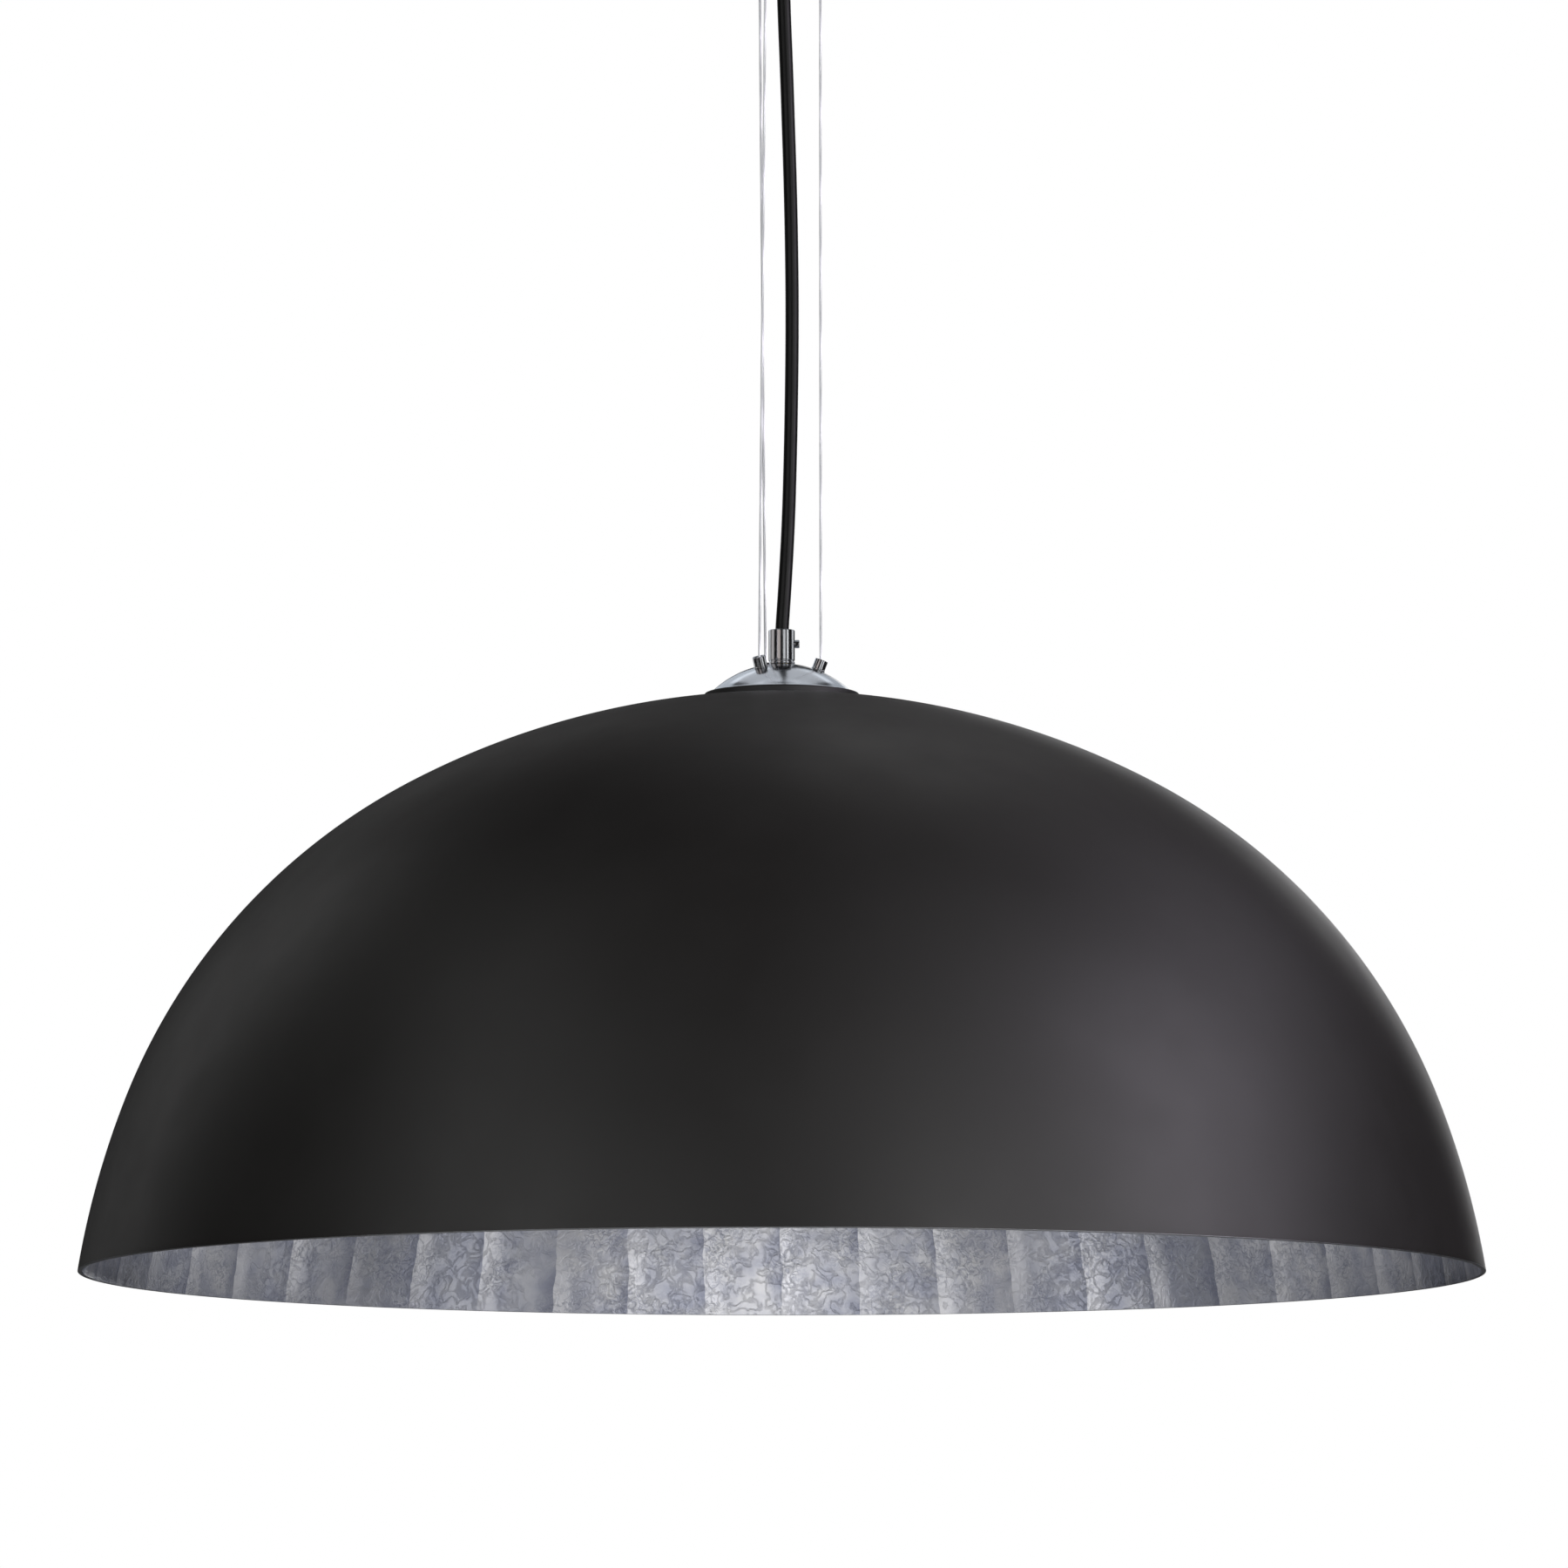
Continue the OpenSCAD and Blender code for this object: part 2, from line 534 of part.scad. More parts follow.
// A rolled thread, as a wave along the barrel
function thread_line(r, from, turns) =
    [for (i = [0:turns * 8]) [r - thread_depth / 2 * (1 - cos(45 * i)), from - i * thread_pitch / 8]];
shell_turns = 6;
shell_r = thread_d / 2 + shell_clear;
module lampholder_shell() at_crown() color(brass) rotate_extrude() polygon(concat(
    thread_line(shell_r, insert_z - insert_h - fit, shell_turns),
    turned(thread_line(shell_r + shell_t, insert_z - insert_h - fit, shell_turns))));
module lampholder_contacts() at_crown() color(brass) {
    translate([0, 0, contact_z + 0.1]) cylinder(h = 1.2, r = 4);
    translate([0, 0, contact_z + 1]) cylinder(h = insert_z - insert_h - contact_z - 1.05, r = 1.6);
}
module lower_cores() at_crown() color(core_brown) for (s = [-1, 1])
    tube(smooth([[s * 1.6, 0, flex_end_z - fit], [s * 1.6, 0, flex_end_z - 1.2], [s * 2, 0, flex_end_z - 3],
        [s * 7, 0, insert_z + 10], [s * terminal_x, 0, insert_z + 7], [s * terminal_x, 0, insert_z + 5],
        [s * terminal_x, 0, insert_z + 1.3]], 3), core_r, [0, 1, 0], 8);

// Bulb
bulb_r = bulb_d / 2;
globe_z = contact_z - bulb_l + bulb_r;
base_z = contact_z - base_tip_h;
base_r = thread_d / 2;
glass_neck_r = base_r - 0.4;
glass_z = base_z - base_l + 2;
neck_fillet_r = 25;
neck_fillet_rise = sqrt(pow(bulb_r + neck_fillet_r, 2) - pow(glass_neck_r + neck_fillet_r, 2));
neck_fillet_sweep = acos(neck_fillet_rise / (bulb_r + neck_fillet_r));
function bulb_line(inset) = concat([[glass_neck_r - inset, glass_z]],
    arc([glass_neck_r + neck_fillet_r, globe_z + neck_fillet_rise], neck_fillet_r + inset, 180,
        270 - neck_fillet_sweep, 12),
    arc([0, globe_z], bulb_r - inset, 90 - neck_fillet_sweep, -90, 30));
module bulb_glass() at_crown() color(opal) rotate_extrude()
    polygon(concat(bulb_line(0), turned(bulb_line(glass_t))));
module bulb_base() at_crown() color(nickel) {
    base_turns = 5;
    base_end = base_z - base_l;
    rotate_extrude() polygon(concat([[6, base_z + 1], [base_r - 1.6, base_z + 1]],
        thread_line(base_r, base_z, base_turns), [[base_r, base_end], [base_r - 0.35, base_end],
        [base_r - 0.35, glass_z + 0.5], [base_r - 1.2, glass_z + 0.5], [base_r - 1.2, base_z - 0.5],
        [6, base_z - 0.5]]));
}
module bulb_insulator() at_crown() color(black) rotate_extrude()
    polygon([[2.5, base_z + 1.05], [base_r - 3, base_z + 1.05], [6, contact_z - 0.6],
        [2.5, contact_z - 0.6]]);
module bulb_contact() at_crown() color(brass) rotate_extrude()
    polygon([[0, base_z + 1], [2.45, base_z + 1], [2.45, contact_z - 0.55], [4, contact_z - 0.55],
        [3.4, contact_z], [0, contact_z]]);

ceiling_bracket();
side_screws();
earth_screw();
canopy_cup();
cord_bush();
cord_bush_nut();
gripper(0);  // gripper_right
gripper(1);  // gripper_rear
gripper(2);  // gripper_front
gripper_nuts();
terminal_block();
terminal_screws();
upper_flex();
upper_cores();
release_tip(0);  // release_tip_right
release_tip(1);  // release_tip_rear
release_tip(2);  // release_tip_front
upper_ball(0);  // upper_ball_right
upper_ball(1);  // upper_ball_rear
upper_ball(2);  // upper_ball_front
wire(0, false);  // wire_right
wire(1, true);  // wire_rear
wire(2, true);  // wire_front
lower_ball_right();
cord_grommet();
power_cord();
anchor(0);  // anchor_right
anchor(1);  // anchor_rear
anchor(2);  // anchor_front
anchor_nuts();
cap();
cap_gasket();
cord_grip();
grip_screw();
stem();
shade();
silver_leaf();
inner_disc();
lock_nut();
lower_flex();
lampholder_cap();
lampholder_body();
lampholder_ring();
lampholder_insert();
lampholder_terminals();
lampholder_shell();
lampholder_contacts();
lower_cores();
bulb_glass();
bulb_base();
bulb_insulator();
bulb_contact();
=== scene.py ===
"""A large dome pendant light: black outside, silver leafed inside, hung by three steel wires and a flex.

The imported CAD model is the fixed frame. Each sub-assembly below is a class that builds its finished meshes
where the frame says, in metres, and lets them ride on the frame's bodies.
"""
from __future__ import annotations

import json
import logging
import math
from dataclasses import dataclass, field
from enum import Enum
from typing import Callable, Iterable, Sequence

import bmesh
import bpy
from mathutils import Matrix, Vector, noise

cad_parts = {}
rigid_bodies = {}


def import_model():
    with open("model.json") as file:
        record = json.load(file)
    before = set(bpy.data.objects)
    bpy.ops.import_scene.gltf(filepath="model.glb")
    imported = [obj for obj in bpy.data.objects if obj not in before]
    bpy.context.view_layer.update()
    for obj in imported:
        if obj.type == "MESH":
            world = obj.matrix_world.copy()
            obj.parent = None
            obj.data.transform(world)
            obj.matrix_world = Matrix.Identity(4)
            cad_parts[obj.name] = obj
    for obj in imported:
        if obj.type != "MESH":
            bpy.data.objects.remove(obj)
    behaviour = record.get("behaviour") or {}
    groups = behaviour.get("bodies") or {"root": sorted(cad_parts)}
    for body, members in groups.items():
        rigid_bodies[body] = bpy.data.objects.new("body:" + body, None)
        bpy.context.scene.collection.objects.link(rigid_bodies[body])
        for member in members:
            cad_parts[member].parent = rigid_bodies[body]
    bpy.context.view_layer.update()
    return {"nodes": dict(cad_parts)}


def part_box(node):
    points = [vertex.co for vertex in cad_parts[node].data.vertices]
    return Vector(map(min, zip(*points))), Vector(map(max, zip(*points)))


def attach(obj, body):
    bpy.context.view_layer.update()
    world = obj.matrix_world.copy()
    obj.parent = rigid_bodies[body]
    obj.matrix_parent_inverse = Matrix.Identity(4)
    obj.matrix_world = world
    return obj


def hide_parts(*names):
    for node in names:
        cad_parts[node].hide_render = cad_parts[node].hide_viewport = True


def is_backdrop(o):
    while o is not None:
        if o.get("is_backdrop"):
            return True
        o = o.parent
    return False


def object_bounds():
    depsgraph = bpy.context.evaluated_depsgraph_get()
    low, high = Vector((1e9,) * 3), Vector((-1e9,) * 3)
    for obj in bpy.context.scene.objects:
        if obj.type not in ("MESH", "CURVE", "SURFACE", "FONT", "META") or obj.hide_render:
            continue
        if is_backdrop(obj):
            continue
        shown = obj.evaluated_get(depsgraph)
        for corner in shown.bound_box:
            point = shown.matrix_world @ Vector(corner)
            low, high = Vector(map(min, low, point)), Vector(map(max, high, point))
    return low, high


LOG = logging.getLogger("pendant")
MM = 0.001
Point = tuple[float, float]
Relief = Callable[[float, float, float], float]
Tree = bpy.types.NodeTree
Socket = bpy.types.NodeSocket
Piece = bpy.types.Object


# ---------------------------------------------------------------- small tools

def linear(hex_colour: str) -> tuple[float, float, float, float]:
    """Turns an sRGB hex colour into linear RGBA.

    Args:
        hex_colour: Six hex digits after a hash sign.

    Returns:
        The linear red, green, blue and an alpha of one.
    """
    parts = [int(hex_colour[i:i + 2], 16) / 255 for i in (1, 3, 5)]
    red, green, blue = [c / 12.92 if c <= 0.04045 else ((c + 0.055) / 1.055) ** 2.4 for c in parts]
    return red, green, blue, 1.0


def add(tree: Tree, kind: str, inputs: dict | None = None, **settings: object) -> bpy.types.Node:
    """Adds a node with its settings, and links or sets its inputs.

    Args:
        tree: The node tree that gets the node.
        kind: The node's type name.
        inputs: Input name or number to a value, or to the socket that feeds it.
        **settings: The node's own properties.

    Returns:
        The new node.
    """
    node = tree.nodes.new(kind)
    for name, value in settings.items():
        setattr(node, name, value)
    for key, value in (inputs or {}).items():
        if isinstance(value, Socket):
            tree.links.new(value, node.inputs[key])
        else:
            node.inputs[key].default_value = value
    return node


def arc(centre: Point, radius: float, start: float, end: float, steps: int) -> list[Point]:
    """Points on an arc in the r, z plane.

    Args:
        centre: The arc's centre.
        radius: The arc's radius.
        start: The first angle, in degrees from the r axis.
        end: The last angle.
        steps: How many chords the arc has.

    Returns:
        The points, from start to end.
    """
    angles = [math.radians(start + (end - start) * i / steps) for i in range(steps + 1)]
    return [(centre[0] + radius * math.cos(a), centre[1] + radius * math.sin(a)) for a in angles]


def rounded(outline: Sequence[Point], radius: float, steps: int = 3) -> list[Point]:
    """Rounds every corner of a closed outline, by no more than its edges have room for.

    Args:
        outline: The closed outline's corners.
        radius: The wanted radius.
        steps: How many chords each rounded corner gets.

    Returns:
        The outline with a short curve in place of each corner.
    """
    points: list[Point] = []
    count = len(outline)
    for i, corner in enumerate(outline):
        here = Vector(corner)
        back = Vector(outline[i - 1]) - here
        ahead = Vector(outline[(i + 1) % count]) - here
        turn = back.angle(ahead, math.pi)
        if corner[0] <= 1e-6 or turn > math.radians(170):
            points.append(corner)
            continue
        reach = min(radius / math.tan(turn / 2), 0.45 * back.length, 0.45 * ahead.length)
        first = here + back.normalized() * reach
        last = here + ahead.normalized() * reach
        for k in range(steps + 1):
            t = k / steps
            spot = first * (1 - t) ** 2 + here * (2 * t * (1 - t)) + last * t * t
            points.append((spot.x, spot.y))
    return points


def finished_object(name: str, mesh: bpy.types.Mesh, sharp: float = 40.0) -> Piece:
    """Links a mesh as an object with smooth faces and sharp creases.

    Args:
        name: The piece's name.
        mesh: The finished mesh.
        sharp: The angle in degrees over which an edge stays sharp.

    Returns:
        The new object.
    """
    mesh.polygons.foreach_set("use_smooth", [True] * len(mesh.polygons))
    mesh.set_sharp_from_angle(angle=math.radians(sharp))
    piece = bpy.data.objects.new(name, mesh)
    bpy.context.scene.collection.objects.link(piece)
    return piece


def lathe(name: str, outline: Sequence[Point], steps: int = 96, relief: Relief | None = None,
          place: Matrix | None = None, sharp: float = 40.0, closed: bool = True) -> Piece:
    """Turns an outline round the Z axis into a mesh, with a UV map of turn share and metres along it.

    Args:
        name: The piece's name.
        outline: Radius and height of each point, in millimetres.
        steps: How many columns the turned mesh has.
        relief: Gives the outward shift in millimetres for a radius, height and angle.
        place: Where the turned piece goes, as a matrix in metres.
        sharp: The angle in degrees over which an edge stays sharp.
        closed: True if the outline's last point joins its first.

    Returns:
        The new object.
    """
    form = bmesh.new()
    columns = []
    axis_points = {i: form.verts.new((0, 0, z * MM)) for i, (r, z) in enumerate(outline) if r <= 1e-6}
    for s in range(steps):
        angle = 2 * math.pi * s / steps
        column = []
        for i, (r, z) in enumerate(outline):
            if i in axis_points:
                column.append(axis_points[i])
                continue
            out = (r + (relief(r, z, angle) if relief else 0.0)) * MM
            column.append(form.verts.new((out * math.cos(angle), out * math.sin(angle), z * MM)))
        columns.append(column)
    lengths = [0.0]
    for before, after in zip(outline, list(outline[1:]) + [outline[0]]):
        lengths.append(lengths[-1] + math.dist(before, after) * MM)
    uv = form.loops.layers.uv.new("turn")
    edges = len(outline) if closed else len(outline) - 1
    for s in range(steps):
        near, far = columns[s], columns[(s + 1) % steps]
        for i in range(edges):
            k = (i + 1) % len(outline)
            corners = [(near[i], s, i), (far[i], s + 1, i), (far[k], s + 1, i + 1), (near[k], s, i + 1)]
            kept = []
            for corner in corners:
                if all(corner[0] is not other[0] for other in kept):
                    kept.append(corner)
            if len(kept) < 3:
                continue
            face = form.faces.new([c[0] for c in kept])
            for loop, (_, turn, along) in zip(face.loops, kept):
                loop[uv].uv = (turn / steps, lengths[along])
    if closed:
        bmesh.ops.recalc_face_normals(form, faces=form.faces)
    mesh = bpy.data.meshes.new(name)
    form.to_mesh(mesh)
    form.free()
    if place is not None:
        mesh.transform(place)
    return finished_object(name, mesh, sharp)


def carve(piece: Piece, cutters: Iterable[Piece]) -> None:
    """Cuts closed shapes out of a piece and removes them.

    Args:
        piece: The piece that is cut.
        cutters: The closed shapes.
    """
    cutters = list(cutters)
    for cutter in cutters:
        cut = piece.modifiers.new("cut", "BOOLEAN")
        cut.object = cutter
        cut.solver = "EXACT"
    bpy.context.view_layer.update()
    shape = piece.evaluated_get(bpy.context.evaluated_depsgraph_get())
    mesh = bpy.data.meshes.new_from_object(shape)
    piece.modifiers.clear()
    piece.data = mesh
    mesh.set_sharp_from_angle(angle=math.radians(40))
    for cutter in cutters:
        bpy.data.objects.remove(cutter)


def block(name: str, low: Sequence[float], high: Sequence[float], place: Matrix | None = None) -> Piece:
    """A box between two corners in millimetres, used as a cutter.

    Args:
        name: Name of the piece.
        low: Lower corner.
        high: Upper corner.
        place: Where the box goes, or None for the origin.

    Returns:
        The box.
    """
    form = bmesh.new()
    bmesh.ops.create_cube(form, size=1)
    for vert in form.verts:
        vert.co = Vector([(a + (c + 0.5) * (b - a)) * MM for c, a, b in zip(vert.co, low, high)])
    mesh = bpy.data.meshes.new(name)
    form.to_mesh(mesh)
    form.free()
    if place is not None:
        mesh.transform(place)
    piece = bpy.data.objects.new(name, mesh)
    bpy.context.scene.collection.objects.link(piece)
    return piece


def sweep(form: bmesh.types.BMesh, path: Sequence[Vector], radius: float, sides: int) -> None:
    """Adds a closed round tube along a path to a mesh that is being built.

    Args:
        form: The mesh that is being built.
        path: The centreline's points, in metres.
        radius: The tube's radius in metres.
        sides: How many sides the tube has.
    """
    rings = []
    side = (path[1] - path[0]).orthogonal().normalized()
    for i, spot in enumerate(path):
        ahead = (path[min(i + 1, len(path) - 1)] - path[max(i - 1, 0)]).normalized()
        side = (side - ahead * side.dot(ahead)).normalized()
        across = ahead.cross(side)
        angles = [2 * math.pi * k / sides for k in range(sides)]
        spokes = [math.cos(a) * side + math.sin(a) * across for a in angles]
        rings.append([form.verts.new(spot + radius * spoke) for spoke in spokes])
    for low, high in zip(rings, rings[1:]):
        for k in range(sides):
            form.faces.new((low[k], low[(k + 1) % sides], high[(k + 1) % sides], high[k]))
    form.faces.new(list(reversed(rings[0])))
    form.faces.new(rings[-1])


def dress(piece: Piece, *finishes: "Finish") -> None:
    """Gives a piece its finishes, in the order of its material numbers.

    Args:
        piece: The piece.
        finishes: One finish for each material number.
    """
    piece.data.materials.clear()
    for finish in finishes:
        piece.data.materials.append(finish.material())


def settle(piece: Piece, body: "Body", slot: str, *nodes: str) -> Piece:
    """Lets a finished piece ride on a body in place of its CAD nodes, and reports it.

    Args:
        piece: The finished piece.
        body: The body that it rides on.
        slot: The record's material slot; not used.
        *nodes: The CAD nodes that it stands for.

    Returns:
        The same piece.
    """
    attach(piece, body.value)
    if nodes:
        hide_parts(*nodes)
    LOG.info("%s rides on %s", piece.name, body.value)
    return piece


# ------------------------------------------------------------------- choices

class Body(Enum):
    """The frame's bodies that finished pieces ride on."""

    CANOPY = "canopy"
    CORD = "power_cord"
    PENDANT = "pendant"
    BULB = "bulb"


class Hang(Enum):
    """The three wires, in order round the axis."""

    RIGHT = "right"
    REAR = "rear"
    FRONT = "front"

    @property
    def turn(self) -> float:
        """How far round from the first wire, in degrees."""
        return 120.0 * list(Hang).index(self)


# ------------------------------------------------------------------ finishes

@dataclass(frozen=True)
class Finish:
    """A plain finish; the others add their own surface to it.

    Attributes:
        name: What the material is and how its surface was made.
        colour: Its sRGB colour.
        roughness: The shader's roughness.
        metallic: One for bare metal.
        grain_mm: Size of the surface's fine texture.
        grain: How high that texture stands, in millimetres.
        mirror: How strongly a bare, unplated surface mirrors; half is plain plastic.
    """

    name: str
    colour: str
    roughness: float
    metallic: float = 0.0
    grain_mm: float = 1.0
    grain: float = 0.01
    mirror: float = 0.5

    def material(self) -> bpy.types.Material:
        """Builds the material once, and returns it again each later time.

        Returns:
            The material.
        """
        found = bpy.data.materials.get(self.name)
        if found:
            return found
        made = bpy.data.materials.new(self.name)
        made.use_nodes = True
        made.diffuse_color = linear(self.colour)
        tree = made.node_tree
        shader = tree.nodes["Principled BSDF"]
        shader.inputs["Base Color"].default_value = linear(self.colour)
        shader.inputs["Roughness"].default_value = self.roughness
        shader.inputs["Metallic"].default_value = self.metallic
        shader.inputs["Specular IOR Level"].default_value = self.mirror
        self.surface(tree, shader)
        return made

    def surface(self, tree: Tree, shader: bpy.types.Node) -> None:
        """A fine even texture, and a roughness that varies a little over it.

        Args:
            tree: The material's node tree.
            shader: The surface shader that is being fed.
        """
        place = add(tree, "ShaderNodeTexCoord").outputs["Object"]
        fine = add(tree, "ShaderNodeTexNoise",
                   {"Vector": place, "Scale": 1 / (self.grain_mm * MM), "Detail": 3.0})
        self.raise_grain(tree, shader, fine.outputs["Fac"], self.grain)
        self.vary_roughness(tree, shader, place, 12.0, 0.05)

    def raise_grain(self, tree: Tree, shader: bpy.types.Node, height: Socket,
                    depth: float) -> bpy.types.Node:
        """Turns a height from 0 to 1 into bump of a real depth in millimetres.

        Args:
            tree: The material's node tree.
            shader: The surface shader that is being fed.
            height: The height, from 0 to 1.
            depth: Depth of the relief, in millimetres.

        Returns:
            The bump node.
        """
        bump = add(tree, "ShaderNodeBump", {"Height": height, "Distance": depth * MM, "Strength": 1.0})
        tree.links.new(bump.outputs["Normal"], shader.inputs["Normal"])
        return bump

    def vary_roughness(self, tree: Tree, shader: bpy.types.Node, place: Socket,
                       size_mm: float, spread: float) -> None:
        """Lets roughness wander by a spread over patches of a real size, as handling and wiping leave it.

        Args:
            tree: The material's node tree.
            shader: The surface shader that is being fed.
            place: Where a point lies, in metres.
            size_mm: Size of the features, in millimetres.
            spread: How far the roughness goes to either side.
        """
        patch = add(tree, "ShaderNodeTexNoise", {"Vector": place, "Scale": 1 / (size_mm * MM), "Detail": 4.0})
        rough = add(tree, "ShaderNodeMapRange",
                    {"Value": patch.outputs["Fac"], "From Min": 0.3, "From Max": 0.7,
                     "To Min": self.roughness - spread, "To Max": self.roughness + spread})
        tree.links.new(rough.outputs["Result"], shader.inputs["Roughness"])


@dataclass(frozen=True)
class PowderCoat(Finish):
    """Matte black powder coat: a fine orange peel that breaks up the light into a wide soft sheen."""

    def surface(self, tree: Tree, shader: bpy.types.Node) -> None:
        """Orange peel of about a millimetre over slow waves that the metal spinning left.

        Args:
            tree: The material's node tree.
            shader: The surface shader that is being fed.
        """
        place = add(tree, "ShaderNodeTexCoord").outputs["Object"]
        peel = add(tree, "ShaderNodeTexNoise",
                   {"Vector": place, "Scale": 1 / (self.grain_mm * MM), "Detail": 2.0})
        wave = add(tree, "ShaderNodeTexNoise", {"Vector": place, "Scale": 1 / (55 * MM), "Detail": 1.0})
        both = add(tree, "ShaderNodeMath", {0: wave.outputs["Fac"], 1: 8.0, 2: peel.outputs["Fac"]},
                   operation="MULTIPLY_ADD")
        self.raise_grain(tree, shader, both.outputs["Value"], self.grain)
        self.vary_roughness(tree, shader, place, 40.0, 0.03)
        dust = add(tree, "ShaderNodeTexNoise", {"Vector": place, "Scale": 1 / (90 * MM), "Detail": 6.0})
        tone = add(tree, "ShaderNodeMix", {"Factor": dust.outputs["Fac"], 6: linear(self.colour),
                                           7: linear("#211f1e")}, data_type="RGBA")
        tree.links.new(tone.outputs[2], shader.inputs["Base Color"])


@dataclass(frozen=True)
class SilverLeaf(Finish):
    """Silver leaf under clear lacquer: strips that overlap, crinkled, each catching the light differently."""

    strips: int = 52
    sheet_mm: float = 85.0
    dark: str = "#b3b5be"
    light: str = "#cfcfd2"
    blue: str = "#9599ac"
    # painted shade: the colour beside the laps and in the creases; the next one is the painted highlight on
    # the laps
    shadow: str = "#7f8395"
    lap_and_highlight: str = "#ebebef"

    def surface(self, tree: Tree, shader: bpy.types.Node) -> None:
        """Strips run from crown to rim; seams with a painted highlight and painted shadow, creases with
        painted shade, and tone come from where a point lies on its strip.

        Args:
            tree: The material's node tree.
            shader: The surface shader that is being fed.
        """
        turn = add(tree, "ShaderNodeUVMap", uv_map="turn").outputs["UV"]
        place = add(tree, "ShaderNodeTexCoord").outputs["Object"]
        split = add(tree, "ShaderNodeSeparateXYZ", {"Vector": turn})
        across = self.wobbled(tree, place, split.outputs["X"], float(self.strips), 70.0, 0.08)
        across = self.wobbled(tree, place, across, 1.0, 9.0, 0.018)
        number = add(tree, "ShaderNodeMath", {0: across}, operation="FLOOR").outputs["Value"]
        within = add(tree, "ShaderNodeMath", {0: across}, operation="FRACT").outputs["Value"]
        # each strip starts its sheets at its own height, so the short seams don't line up
        start = add(tree, "ShaderNodeTexWhiteNoise", {"W": number}, noise_dimensions="1D")
        early = add(tree, "ShaderNodeMath", {0: start.outputs["Value"], 1: 0.35}, operation="MULTIPLY")
        along = add(tree, "ShaderNodeMath", {0: split.outputs["Y"], 1: 1000 / self.sheet_mm,
                                             2: early.outputs["Value"]}, operation="MULTIPLY_ADD")
        row = add(tree, "ShaderNodeMath", {0: along.outputs["Value"]}, operation="FLOOR")
        down = add(tree, "ShaderNodeMath", {0: along.outputs["Value"]}, operation="FRACT").outputs["Value"]
        sheet = add(tree, "ShaderNodeCombineXYZ", {"X": number, "Y": row.outputs["Value"]})
        shade = add(tree, "ShaderNodeTexWhiteNoise", {"Vector": sheet.outputs["Vector"]},
                    noise_dimensions="2D")
        # where two sheets overlap, the laps get a painted highlight and the sheet beside them a painted
        # shadow; the laps also stand a little proud
        end_lap_and_highlight = self.times(tree, self.fade(tree, down, 0.93, 0.99), 0.4)
        end_shadow = self.times(tree, self.fade(tree, down, 0.06, 0.0), 0.4)
        lap_and_highlight = add(tree, "ShaderNodeMath", {0: self.fade(tree, within, 0.66, 0.90), 1: end_lap_and_highlight},
                  operation="MAXIMUM").outputs["Value"]
        shadow = add(tree, "ShaderNodeMath", {0: self.fade(tree, within, 0.24, 0.0), 1: end_shadow},
                     operation="MAXIMUM").outputs["Value"]
        seam_strength = self.patches(tree, place, 26.0, 0.28, 0.6)
        lap_and_highlight = self.times(tree, lap_and_highlight, seam_strength)
        shadow = self.times(tree, shadow, seam_strength)
        creases = self.creases(tree, place, 7.5)
        fine = self.creases(tree, place, 3.6)
        rumpled = self.patches(tree, place, 24.0, 0.36, 0.62)
        fine = self.times(tree, fine, rumpled)
        tone = self.mix(tree, shade.outputs["Value"], linear(self.dark), linear(self.light))
        cloud = self.patches(tree, place, 13.0, 0.36, 0.66)
        tone = self.mix(tree, self.times(tree, cloud, 0.6), tone, linear(self.blue))
        # painted shadow beside the laps, then a painted highlight on them
        tone = self.mix(tree, self.times(tree, shadow, 0.6), tone, linear(self.shadow))
        tone = self.mix(tree, self.times(tree, lap_and_highlight, 0.7), tone, linear(self.lap_and_highlight))
        # painted shade in the fine creases
        tone = self.mix(tree, self.times(tree, fine, 0.55), tone, linear(self.shadow))
        tree.links.new(tone, shader.inputs["Base Color"])
        soft = add(tree, "ShaderNodeMath", {0: fine, 1: 0.55, 2: creases}, operation="MULTIPLY_ADD")
        height = add(tree, "ShaderNodeMath", {0: lap_and_highlight, 1: 0.4, 2: soft.outputs["Value"]},
                     operation="MULTIPLY_ADD")
        self.raise_grain(tree, shader, height.outputs["Value"], self.grain)
        rough = add(tree, "ShaderNodeMapRange",
                    {"Value": creases, "From Min": 0.0, "From Max": 1.0,
                     "To Min": self.roughness - 0.04, "To Max": self.roughness + 0.08})
        tree.links.new(rough.outputs["Result"], shader.inputs["Roughness"])

    @staticmethod
    def wobbled(tree: Tree, place: Socket, value: Socket, gain: float,
                size_mm: float, reach: float) -> Socket:
        """Multiplies a value by a gain and adds a wander of a real size.

        Args:
            tree: The material's node tree.
            place: Where a point lies, in metres.
            value: The value to change.
            gain: What the value is multiplied by.
            size_mm: Size of the features, in millimetres.
            reach: How far the wander goes.

        Returns:
            The wandering value.
        """
        wander = add(tree, "ShaderNodeTexNoise",
                     {"Vector": place, "Scale": 1 / (size_mm * MM), "Detail": 2.0})
        drift = add(tree, "ShaderNodeMapRange", {"Value": wander.outputs["Fac"], "From Min": 0.2,
                                                 "From Max": 0.8, "To Min": -reach, "To Max": reach})
        return add(tree, "ShaderNodeMath", {0: value, 1: gain, 2: drift.outputs["Result"]},
                   operation="MULTIPLY_ADD").outputs["Value"]

    @staticmethod
    def fade(tree: Tree, value: Socket, none: float, full: float) -> Socket:
        """Rises smoothly from zero at one value to one at another.

        Args:
            tree: The material's node tree.
            value: The value to change.
            none: The value at which the result is zero.
            full: The value at which the result is one.

        Returns:
            The faded value.
        """
        low, high = min(none, full), max(none, full)
        ends = {"To Min": 0.0, "To Max": 1.0} if full > none else {"To Min": 1.0, "To Max": 0.0}
        return add(tree, "ShaderNodeMapRange", {"Value": value, "From Min": low, "From Max": high, **ends},
                   interpolation_type="SMOOTHSTEP").outputs["Result"]

